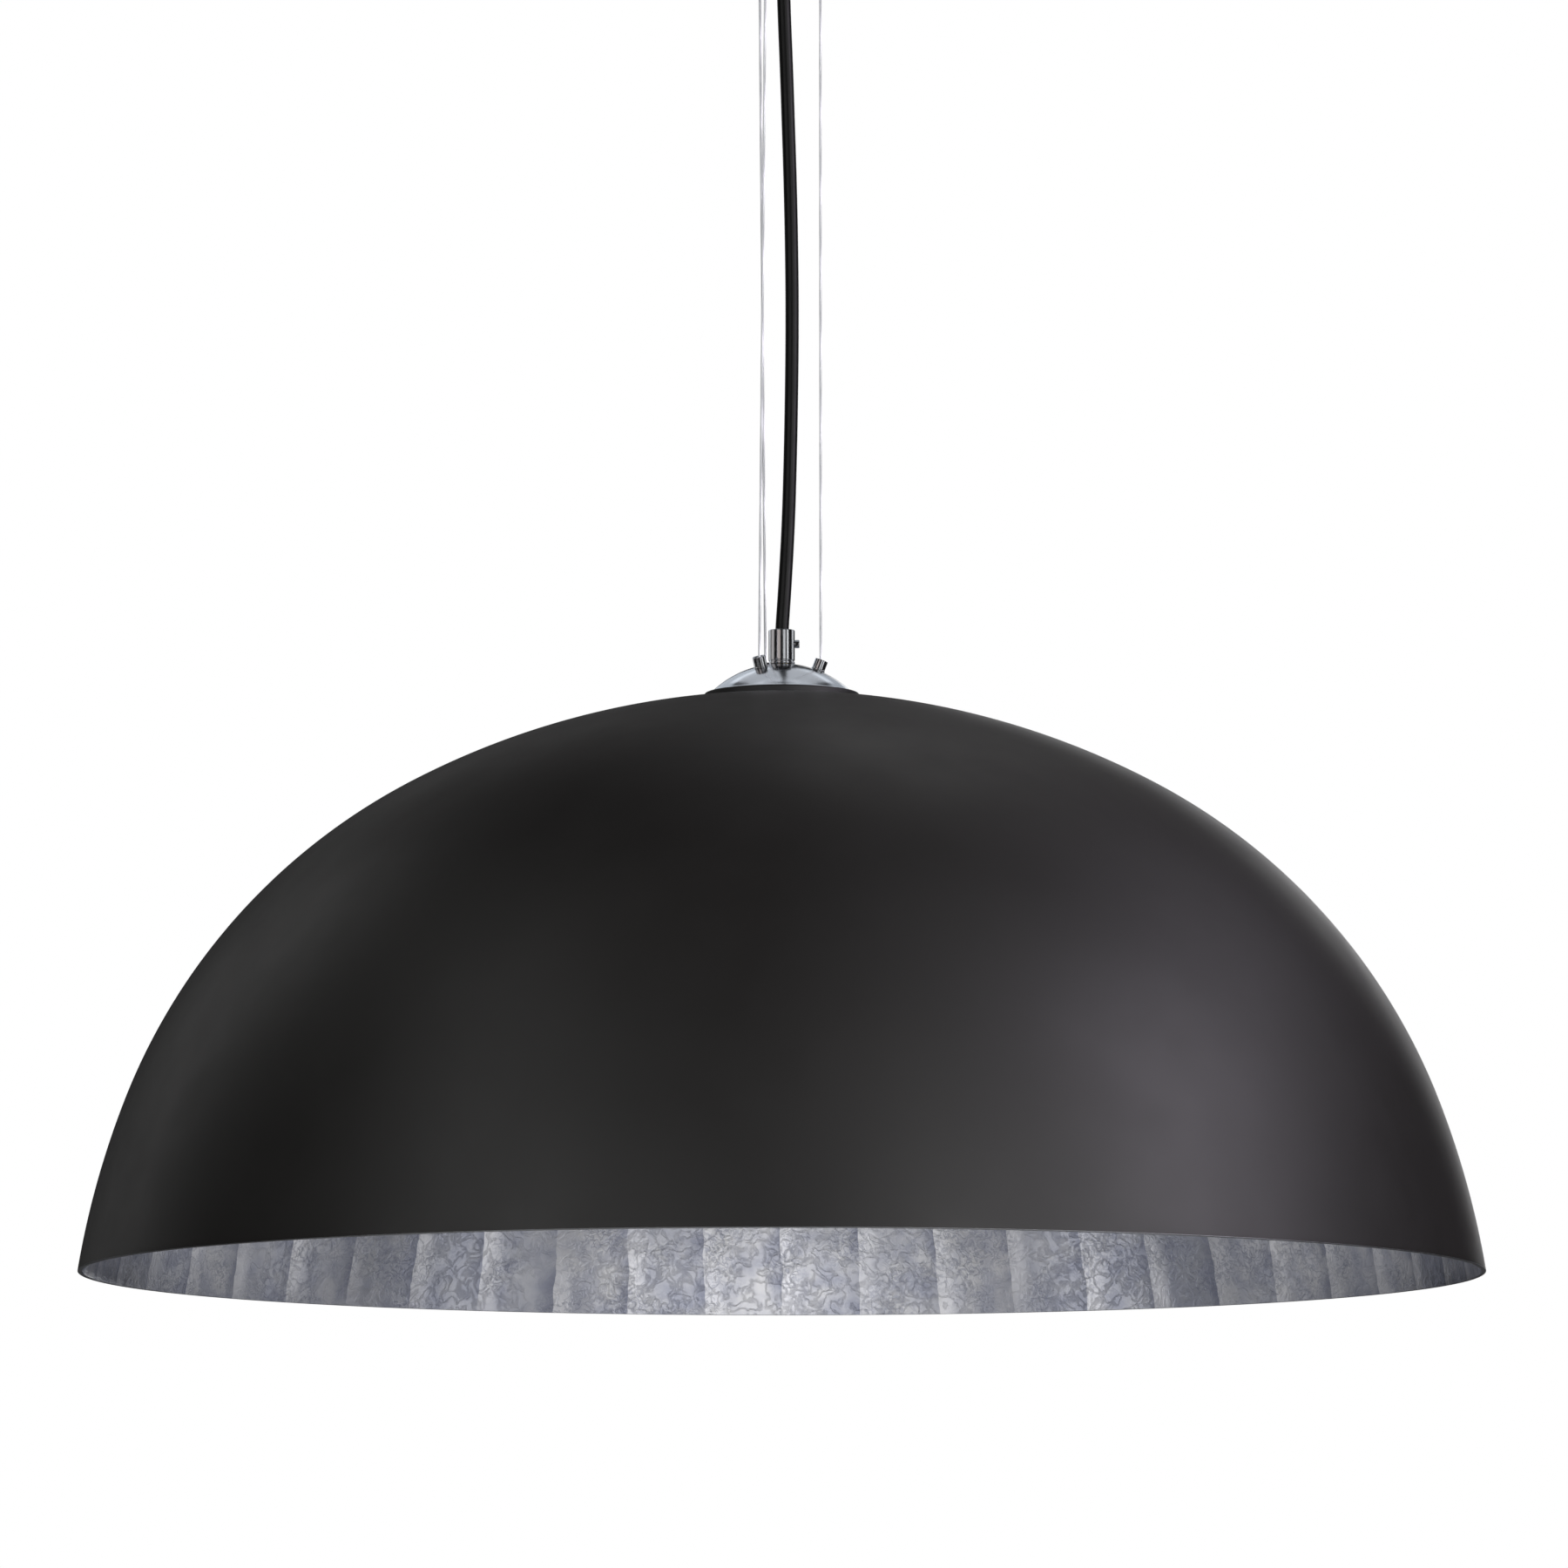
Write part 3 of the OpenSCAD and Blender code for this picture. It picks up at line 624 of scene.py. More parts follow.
    @staticmethod
    def patches(tree: Tree, place: Socket, size_mm: float, low: float,
                high: float) -> Socket:
        """Soft patches of a real size, from zero to one.

        Args:
            tree: The material's node tree.
            place: Where a point lies, in metres.
            size_mm: Size of the features, in millimetres.
            low: Noise at which a patch starts.
            high: Noise at which a patch is full.

        Returns:
            The patches' value.
        """
        cloud = add(tree, "ShaderNodeTexNoise", {"Vector": place, "Scale": 1 / (size_mm * MM), "Detail": 4.0})
        return add(tree, "ShaderNodeMapRange", {"Value": cloud.outputs["Fac"], "From Min": low,
                                                "From Max": high}).outputs["Result"]

    @staticmethod
    def creases(tree: Tree, place: Socket, size_mm: float) -> Socket:
        """Thin wandering ridges, as in foil that was crumpled and smoothed out again.

        Args:
            tree: The material's node tree.
            place: Where a point lies, in metres.
            size_mm: Size of the features, in millimetres.

        Returns:
            The ridges' value.
        """
        base = add(tree, "ShaderNodeTexNoise", {"Vector": place, "Scale": 1 / (size_mm * MM), "Detail": 2.5,
                                                "Distortion": 0.8})
        middle = add(tree, "ShaderNodeMath", {0: base.outputs["Fac"], 1: 0.5}, operation="SUBTRACT")
        away = add(tree, "ShaderNodeMath", {0: middle.outputs["Value"]}, operation="ABSOLUTE")
        return add(tree, "ShaderNodeMapRange",
                   {"Value": away.outputs["Value"], "From Min": 0.0, "From Max": 0.09,
                    "To Min": 1.0, "To Max": 0.0},
                   interpolation_type="SMOOTHSTEP").outputs["Result"]

    @staticmethod
    def times(tree: Tree, value: Socket,
              factor: float | Socket) -> Socket:
        """One value times another."""
        return add(tree, "ShaderNodeMath", {0: value, 1: factor}, operation="MULTIPLY").outputs["Value"]

    @staticmethod
    def mix(tree: Tree, share: Socket, first: object,
            second: object) -> Socket:
        """A blend of two colours by a share."""
        return add(tree, "ShaderNodeMix", {"Factor": share, 6: first, 7: second}, data_type="RGBA").outputs[2]


@dataclass(frozen=True)
class TurnedMetal(Finish):
    """Metal turned and then polished or plated: faint rings round its axis stay in the surface."""

    ring_mm: float = 0.35

    def surface(self, tree: Tree, shader: bpy.types.Node) -> None:
        """Fine scratches stretched round the axis, and patches dulled by handling.

        Args:
            tree: The material's node tree.
            shader: The surface shader that is being fed.
        """
        place = add(tree, "ShaderNodeTexCoord").outputs["Object"]
        flat = add(tree, "ShaderNodeMapping",
                   {"Vector": place, "Scale": (40.0, 40.0, 1 / (self.ring_mm * MM))})
        rings = add(tree, "ShaderNodeTexNoise",
                    {"Vector": flat.outputs["Vector"], "Scale": 1.0, "Detail": 2.0})
        self.raise_grain(tree, shader, rings.outputs["Fac"], self.grain)
        self.vary_roughness(tree, shader, place, 6.0, 0.05)


@dataclass(frozen=True)
class OpalGlass(Finish):
    """Opal glass: white all through, so light sinks in and the gloss sits on top."""

    def surface(self, tree: Tree, shader: bpy.types.Node) -> None:
        """A soft white body with a clear gloss, and slow waves from blowing.

        Args:
            tree: The material's node tree.
            shader: The surface shader that is being fed.
        """
        shader.inputs["Subsurface Weight"].default_value = 0.35
        shader.inputs["Subsurface Radius"].default_value = (0.004, 0.004, 0.0035)
        shader.inputs["Coat Weight"].default_value = 0.4
        shader.inputs["Coat Roughness"].default_value = 0.06
        place = add(tree, "ShaderNodeTexCoord").outputs["Object"]
        wave = add(tree, "ShaderNodeTexNoise", {"Vector": place, "Scale": 1 / (25 * MM), "Detail": 1.0})
        self.raise_grain(tree, shader, wave.outputs["Fac"], self.grain)


@dataclass(frozen=True)
class LitPaper(Finish):
    """Pale paper that is lit from below, as on a light table, so that it looks pale from every side."""

    def surface(self, tree: Tree, shader: bpy.types.Node) -> None:
        """The glow is for the eye alone; the object gets its light from the softboxes.

        Args:
            tree: The material's node tree.
            shader: The surface shader that is being fed.
        """
        seen = add(tree, "ShaderNodeLightPath").outputs["Is Camera Ray"]
        glow = add(tree, "ShaderNodeEmission", {"Color": linear(self.colour), "Strength": 1.0})
        both = add(tree, "ShaderNodeMixShader", {0: seen, 1: shader.outputs[0], 2: glow.outputs[0]})
        tree.links.new(both.outputs[0], tree.nodes["Material Output"].inputs["Surface"])


@dataclass(frozen=True)
class MouldedPlastic(Finish):
    """Moulded plastic or rubber: an even fine spark texture from the tool, slightly glossier where rubbed."""


SHADE_COAT = PowderCoat("matte_black_powder_coat", "#1a1918", 0.47, grain_mm=1.1, grain=0.02, mirror=0.42)
RIM_METAL = TurnedMetal("bare_cut_aluminium", "#9a9b9e", 0.45, 1.0, grain=0.004)
LEAF = SilverLeaf("lacquered_silver_leaf", "#c3c4ca", 0.36, 1.0, grain=0.05)
NICKEL = TurnedMetal("polished_nickel_plate", "#c3c5c9", 0.18, 1.0, grain=0.002)
ZINC = TurnedMetal("bright_zinc_plated_steel", "#b4b8bd", 0.32, 1.0, grain=0.004)
STEEL_WIRE = TurnedMetal("drawn_stainless_steel", "#e6e8ea", 0.45, 0.6, grain=0.002)
BRASS = TurnedMetal("turned_brass", "#c9a558", 0.28, 1.0, grain=0.004)
SHEATH = MouldedPlastic("extruded_pvc_sheath", "#0a0a0a", 0.38, grain_mm=0.6, grain=0.004, mirror=0.2)
RUBBER = MouldedPlastic("moulded_rubber", "#121212", 0.6, grain_mm=0.5, grain=0.01)
PHENOLIC = MouldedPlastic("moulded_phenolic", "#191716", 0.3, grain_mm=0.8, grain=0.004)
POLYAMIDE = MouldedPlastic("moulded_polyamide", "#dcd9cf", 0.42, grain_mm=0.7, grain=0.006)
CORES = MouldedPlastic("extruded_core_insulation", "#6b3a1f", 0.35, grain_mm=0.6, grain=0.003)
PORCELAIN = MouldedPlastic("glazed_porcelain", "#ece8de", 0.12, grain_mm=4.0, grain=0.02)
OPAL = OpalGlass("blown_opal_glass", "#f3f1ea", 0.18, grain=0.02)


# ------------------------------------------------------------- sub-assemblies

@dataclass
class Dome:
    """The spun shade and the silver leaf inside it. Sizes are in millimetres, heights from the crown."""

    width: float = 700.0
    height: float = 290.0
    shoulder_r: float = 300.0
    crown_sweep: float = 28.5
    shoulder_sweep: float = 69.0
    rim_lean: float = 9.0
    sheet: float = 2.0
    leaf: float = 0.3
    leaf_start: float = 26.0
    hole_r: float = 5.1
    crown_z: float = field(init=False)

    def __post_init__(self) -> None:
        """Works out the two free radii and where the crown is."""
        sweeps = (self.crown_sweep, self.shoulder_sweep, 90 - self.rim_lean)
        crown, shoulder, rim = (math.radians(sweep) for sweep in sweeps)
        span = self.width / 2 - self.shoulder_r * (math.sin(shoulder) - math.sin(crown))
        fall = self.height - self.shoulder_r * (math.cos(crown) - math.cos(shoulder))
        side_span = math.sin(rim) - math.sin(shoulder)
        side_fall = math.cos(shoulder) - math.cos(rim)
        crown_fall = 1 - math.cos(crown)
        det = math.sin(crown) * side_fall - side_span * crown_fall
        self.crown_r = (span * side_fall - fall * side_span) / det
        self.side_r = (fall * math.sin(crown) - span * crown_fall) / det
        self.shoulder_c = Vector((0, -self.crown_r)) + self.polar(self.crown_r - self.shoulder_r, crown)
        self.side_c = self.shoulder_c + self.polar(self.shoulder_r - self.side_r, shoulder)
        low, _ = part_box("shade")
        self.crown_z = low.z / MM - self.line(self.sheet)[-1][1]

    @staticmethod
    def polar(radius: float, sweep: float) -> Vector:
        """A step of a radius at a sweep from the axis."""
        return Vector((radius * math.sin(sweep), radius * math.cos(sweep)))

    def line(self, inset: float, start_r: float = 0.0, finer: int = 1) -> list[Point]:
        """The outline from the axis to the rim, moved in by an inset.

        Args:
            inset: How far inside the outer face the line runs.
            start_r: The radius that the line starts from.
            finer: How many times as many points as the plainest line.

        Returns:
            The line's points, from the crown down.
        """
        first = math.degrees(math.asin(start_r / (self.crown_r - inset)))
        spans = [(Vector((0, -self.crown_r)), self.crown_r, first, self.crown_sweep, 14),
                 (self.shoulder_c, self.shoulder_r, self.crown_sweep, self.shoulder_sweep, 18),
                 (self.side_c, self.side_r, self.shoulder_sweep, 90 - self.rim_lean, 7)]
        points: list[Point] = []
        for centre, radius, begin, end, steps in spans:
            for i in range(1 if points else 0, steps * finer + 1):
                sweep = math.radians(begin + (end - begin) * i / (steps * finer))
                spot = centre + self.polar(radius - inset, sweep)
                points.append((spot.x, spot.y))
        return points

    def build_shell(self) -> Piece:
        """The spun shell: coated outside, with a cut and rounded edge of bare metal at the rim.

        Returns:
            The shell.
        """
        outer = self.line(0, self.hole_r, 4)
        inner = self.line(self.sheet, self.hole_r, 4)
        outline = outer + self.rim(outer[-1], inner[-1]) + inner[::-1]
        shell = lathe("shade_shell", [(r, z + self.crown_z) for r, z in outline], 288, sharp=60)
        dress(shell, SHADE_COAT, RIM_METAL)
        edge_z = (self.crown_z + outer[-1][1] + 0.05) * MM
        inside = self.width / 2 * MM - 0.02
        for face in shell.data.polygons:
            centre = face.center
            if centre.z < edge_z and math.hypot(centre.x, centre.y) > inside:
                face.material_index = 1
        return settle(shell, Body.PENDANT, "black_shade_coat", "shade")

    def rim(self, outer: Point, inner: Point) -> list[Point]:
        """A half-round edge between the ends of the outer and the inner line.

        Args:
            outer: End of the outer line.
            inner: End of the inner line.

        Returns:
            The edge's points.
        """
        middle = (Vector(outer) + Vector(inner)) / 2
        half = (Vector(outer) - Vector(inner)).length / 2
        start = -math.degrees(math.atan2(middle.y - outer[1], outer[0] - middle.x))
        return [(middle.x + half * math.cos(math.radians(start - a)), middle.y + 0.35 * half
                 * math.sin(math.radians(start - a))) for a in range(20, 180, 20)]

    def build_leaf(self) -> Piece:
        """The leaf: a thin crinkled layer that stands a hair off the spun metal; its strips are in its
        finish.

        Returns:
            The leaf.
        """
        back = self.line(self.sheet + 0.03, self.leaf_start, 3)
        face = self.line(self.sheet + self.leaf, self.leaf_start, 3)

        def crinkle(r: float, z: float, angle: float) -> float:
            """Inward relief of the leaf's face: soft waves left by laying it.

            Args:
                r: Distance from the axis, in millimetres.
                z: Height of the point, in millimetres.
                angle: Angle round the axis, in radians.

            Returns:
                The relief, in millimetres.
            """
            if (r, z) in backs:
                return 0.0
            spot = Vector((r * math.cos(angle), r * math.sin(angle), z))
            return -0.3 * (0.7 + 0.6 * noise.noise(spot / 22) + 0.4 * noise.noise(spot / 9))

        shifted = [(r, z + self.crown_z) for r, z in back]
        backs = set(shifted)
        outline = [(r, z + self.crown_z) for r, z in face[::-1]] + shifted
        leaf = lathe("silver_leaf_lining", outline, 576, crinkle, sharp=70)
        dress(leaf, LEAF)
        return settle(leaf, Body.PENDANT, "silver_leaf", "silver_leaf")


@dataclass
class Crown:
    """The cap, its gasket and anchors, and the cord grip, on top of the dome. Heights are from the crown."""

    dome: Dome
    cap_d: float = 72.0
    cap_h: float = 15.0
    cap_t: float = 1.5
    gasket_top: float = 1.4
    gasket_lip: float = 3.0
    gasket_w: float = 9.0
    lean: float = 21.0
    first_turn: float = -5.0
    anchor_d: float = 6.6
    anchor_h: float = 5.5
    bore_r: float = 2.2
    neck_r: float = 2.3
    grip_d: float = 13.3
    grip_h: float = 17.4
    cord_r: float = 3.4
    screw_up: float = 10.4
    screw_r: float = 2.1

    def __post_init__(self) -> None:
        """Works out the cap's sphere and where the grip stands."""
        self.sphere_r = ((self.cap_d / 2) ** 2 + self.cap_h ** 2) / (2 * self.cap_h)
        self.centre_z = self.dome.crown_z + self.gasket_top + self.cap_h - self.sphere_r
        self.grip_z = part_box("cord_grip")[0].z / MM

    def build_cap(self) -> Piece:
        """A shallow spun cap with a rolled lower edge, polished and plated.

        Returns:
            The dressed piece.
        """
        base = self.dome.crown_z + self.gasket_top
        edge = math.degrees(math.asin((base - self.centre_z) / self.sphere_r))
        inner_r = self.sphere_r - self.cap_t
        inner_edge = math.degrees(math.asin((base - self.centre_z) / inner_r))
        hole = math.degrees(math.acos(self.dome.hole_r / self.sphere_r))
        inner_hole = math.degrees(math.acos(self.dome.hole_r / inner_r))
        outline = arc((0, self.centre_z), self.sphere_r, hole, edge + 0.7, 40)
        outline += [(self.cap_d / 2 - 0.15, base + 0.25), (self.cap_d / 2 - 0.45, base + 0.05)]
        outline += arc((0, self.centre_z), inner_r, inner_edge, inner_hole, 40)
        cap = lathe("cap_shell", outline, 160)
        dress(cap, NICKEL)
        return settle(cap, Body.PENDANT, "bright_nickel", "cap")

    def build_gasket(self) -> Piece:
        """A soft ring whose foot follows the crown.

        Returns:
            The gasket.
        """
        outer = self.cap_d / 2 + self.gasket_lip
        inner = outer - self.gasket_w
        foot = [(r, z) for r, z in self.dome.line(0, 0, 24) if inner <= r <= outer]
        crown = self.dome.crown_z
        foot = [(inner, self.level(inner))] + foot + [(outer, self.level(outer))]
        rounded_top = arc((outer - 0.9, self.gasket_top - 0.9), 0.9, 0, 90, 6)
        outline = foot + rounded_top + [(inner, self.gasket_top)]
        ring = lathe("cap_gasket_ring", [(r, z + crown) for r, z in outline], 128)
        dress(ring, RUBBER)
        return settle(ring, Body.PENDANT, "black_rubber", "cap_gasket")

    def level(self, radius: float) -> float:
        """Height of the crown's outer face at a radius."""
        return math.sqrt(self.dome.crown_r ** 2 - radius ** 2) - self.dome.crown_r

    def on_cap(self, hang: Hang) -> Matrix:
        """Where an anchor stands: on the cap's sphere, square to it.

        Args:
            hang: Which of the three wires.

        Returns:
            The anchor's frame.
        """
        turn = Matrix.Rotation(math.radians(self.first_turn + hang.turn), 4, "Z")
        lean = Matrix.Rotation(math.radians(self.lean), 4, "Y")
        rise = Matrix.Translation((0, 0, self.sphere_r * MM))
        return Matrix.Translation((0, 0, self.centre_z * MM)) @ turn @ lean @ rise

    def build_anchors(self) -> list[Piece]:
        """Three collars with a cupped mouth that holds the ball on a wire's end.

        Returns:
            The three anchors.
        """
        r, h = self.anchor_d / 2, self.anchor_h
        mouth = [(0, -4.2), (self.neck_r, -4.2), (self.neck_r, -0.1), (r + 0.25, -0.1), (r + 0.25, 0.55),
                 (r, 0.8), (r, h), (self.bore_r + 0.15, h), (self.bore_r, h - 0.3), (self.bore_r, 1.3),
                 (0, 1.3)]
        made = []
        for hang in Hang:
            collar = lathe(f"anchor_collar_{hang.value}", rounded(mouth, 0.22), 48, place=self.on_cap(hang))
            dress(collar, NICKEL)
            made.append(settle(collar, Body.PENDANT, "bright_nickel", f"anchor_{hang.value}"))
        return made

    def build_grip(self) -> Piece:
        """The cord grip: a turned barrel with eased ends, drilled for its screw.

        Returns:
            The grip.
        """
        r, h, z = self.grip_d / 2, self.grip_h, self.grip_z
        outline = [(5.05, 0), (r, 0), (r, 1.0), (r - 0.25, 1.25), (r - 0.25, 1.75), (r, 2.0), (r, h),
                   (self.cord_r + 0.75, h), (self.cord_r + 0.35, h - 2.6), (self.cord_r + 0.3, 7.9),
                   (5.05, 7.6)]
        barrel = lathe("cord_grip_barrel", [(a, b + z) for a, b in rounded(outline, 0.55, 4)], 96)
        hole_r = self.screw_r - 0.15
        drill = lathe("drill", [(0, 3.0), (hole_r, 3.0), (hole_r, 9.0), (0, 9.0)], 32, place=self.beside())
        carve(barrel, [drill])
        dress(barrel, NICKEL)
        return settle(barrel, Body.PENDANT, "bright_nickel", "cord_grip")

    def beside(self) -> Matrix:
        """Where the grip's screw goes: square to the grip, out to its right.

        Returns:
            The screw's frame.
        """
        rise = Matrix.Translation((0, 0, (self.grip_z + self.screw_up) * MM))
        return rise @ Matrix.Rotation(math.pi / 2, 4, "Y")

    def build_screw(self) -> Piece:
        """The grip's small slotted screw.

        Returns:
            The screw.
        """
        out = self.grip_d / 2
        tip, thread_r = self.cord_r + 0.06, self.screw_r - 0.2
        outline = [(0, tip), (thread_r, tip), (thread_r, out + 0.2), (self.screw_r, out + 0.2),
                   (self.screw_r, out + 2.2), (0, out + 2.25)]
        side = self.beside()
        screw = lathe("grip_side_screw", rounded(outline, 0.3), 40, place=side)
        carve(screw, [block("slot", (-3, -0.4, out + 1.6), (3, 0.4, out + 3), side)])
        dress(screw, NICKEL)
        return settle(screw, Body.PENDANT, "bright_nickel", "grip_screw")


@dataclass
class Canopy:
    """The ceiling canopy: cup, cord bush and wire grippers. Heights are from the ceiling."""

    width: float = 100.0
    wall: float = 1.2
    edge_r: float = 6.0
    ring_r: float = 19.6027
    first_turn: float = 5.5
    bush_r: float = 8.0
    bush_thread_r: float = 7.0
    bush_lip_r: float = 4.18
    bush_mouth_r: float = 5.71
    slot_r: float = 2.2
    slot_z: float = -7.0

    def __post_init__(self) -> None:
        """Reads the cup's floor from the frame."""
        self.floor_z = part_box("canopy_cup")[0].z / MM

    def build_cup(self) -> Piece:
        """A pressed cup with open slots at its rim for the side screws.

        Returns:
            The cup.
        """
        r, z = self.width / 2, self.floor_z
        centre = (r - self.edge_r, z + self.edge_r)
        hole_r = self.bush_thread_r + 0.1
        outline = [(hole_r, z)] + arc(centre, self.edge_r, -90, 0, 16)
        outline += [(r, -0.3), (r - 0.3, 0), (r - self.wall, 0)]
        outline += arc(centre, self.edge_r - self.wall, 0, -90, 16) + [(hole_r, z + self.wall)]
        cup = lathe("canopy_shell", outline, 160)
        cutters = []
        for side in (-1, 1):
            out = Matrix.Translation((0, 0, self.slot_z * MM)) @ Matrix.Rotation(-side * math.pi / 2, 4, "X")
            end = [(0, r - 6), (self.slot_r, r - 6), (self.slot_r, r + 4), (0, r + 4)]
            cutters.append(lathe("slot_end", end, 32, place=out))
            low, high = sorted((side * (r - 6), side * (r + 4)))
            cutters.append(block("slot_sides", (-self.slot_r, low, self.slot_z), (self.slot_r, high, 5)))
        for hang in Hang:
            spot = self.at(hang)
            hole = [(0, z - 3), (4.1, z - 3), (4.1, z + 4), (0, z + 4)]
            cutters.append(lathe("grip_hole", hole, 32, place=Matrix.Translation((spot.x, spot.y, 0))))
        carve(cup, cutters)
        dress(cup, SHADE_COAT)
        return settle(cup, Body.CANOPY, "black_powder_coat", "canopy_cup")

    def at(self, hang: Hang) -> Vector:
        """Where a wire meets the canopy, seen from above, in metres.

        Args:
            hang: Which of the three wires.

        Returns:
            The wire's place.
        """
        turn = math.radians(self.first_turn + hang.turn)
        return Vector((math.cos(turn), math.sin(turn), 0)) * self.ring_r * MM

    def build_bush(self) -> Piece:
        """The cord bush, ribbed so that it can be turned by hand.

        Returns:
            The bush.
        """
        z = self.floor_z
        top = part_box("cord_bush")[1].z / MM
        r = self.bush_r
        outline = [(self.bush_lip_r, top - 9.8), (5.2, top - 9.8), (5.2, top), (self.bush_thread_r, top),
                   (self.bush_thread_r, z), (r + 1.5, z), (r + 1.5, z - 2.5), (r, z - 3), (r - 1, z - 8),
                   (self.bush_mouth_r, z - 8)]

        def ribs(radius: float, height: float, angle: float) -> float:
            """Shallow ribs round the flange.

            Args:
                radius: Distance from the axis, in millimetres.
                height: Height of the point, in millimetres.
                angle: Angle round the axis, in radians.

            Returns:
                The relief, in millimetres.
            """
            on_flange = radius > r + 1.2 and z - 2.6 < height < z - 0.2
            return -0.35 * (0.5 - 0.5 * math.cos(20 * angle)) if on_flange else 0.0

        bush = lathe("cord_bush_body", rounded(outline, 0.4), 160, ribs)
        dress(bush, PHENOLIC)
        return settle(bush, Body.CANOPY, "black_phenolic", "cord_bush")

    def build_grippers(self) -> list[Piece]:
        """Three knurled wire grippers with the sprung tip that lets the wire go.

        Returns:
            The grippers and their tips.
        """
        made = []
        for hang in Hang:
            spot = self.at(hang)
            place = Matrix.Translation((spot.x, spot.y, 0))
            low, high = (p.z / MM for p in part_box(f"gripper_{hang.value}"))
            foot, z = low, self.floor_z
            outline = [(2.8, foot), (4.2, foot), (5, foot + 0.8), (5, foot + 2.2), (4.75, foot + 2.4),
                       (5, foot + 2.6)] + [(5, foot + 2.6 + 0.5 * i) for i in range(1, 13)]
            outline += [(4.75, foot + 9.2), (4.5, foot + 10), (4.5, foot + 10.6), (5, foot + 11), (5, z),
                        (4, z), (4, high), (1.3, high), (1.3, z - 6.6), (1.9, z - 7.1), (1.9, z - 10.1),
                        (1.6, z - 10.1), (1.6, z - 11.3), (2.8, z - 11.3)]

            def knurl(radius: float, height: float, angle: float, base: float = foot) -> float:
                """A fine diamond knurl round the middle of the body.

                Args:
                    radius: Distance from the axis, in millimetres.
                    height: Height of the point, in millimetres.
                    angle: Angle round the axis, in radians.
                    base: Height of the gripper's foot, in millimetres.

                Returns:
                    The relief, in millimetres.
                """
                if radius < 4.9 or not base + 2.7 < height < base + 9:
                    return 0.0
                turn = 26 * angle
                climb = (height - base) * 2 * math.pi / 1.4
                return -0.1 * (2 - abs(math.cos((turn + climb) / 2)) - abs(math.cos((turn - climb) / 2)))

            body = lathe(f"gripper_body_{hang.value}", outline, 104, knurl, place, sharp=30)
            dress(body, NICKEL)
            made.append(settle(body, Body.CANOPY, "bright_nickel", f"gripper_{hang.value}"))
            low, high = (p.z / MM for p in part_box(f"release_tip_{hang.value}"))
            tip_outline = [(2.15, low), (2.7, low), (2.7, high), (1.7, high)]
            tip = lathe(f"release_sleeve_{hang.value}", rounded(tip_outline, 0.35), 48, place=place)
            dress(tip, NICKEL)
            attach(tip, f"release_tip_{hang.value}")
            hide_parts(f"release_tip_{hang.value}")
            LOG.info("%s rides on its own body", tip.name)
            made.append(tip)
        return made


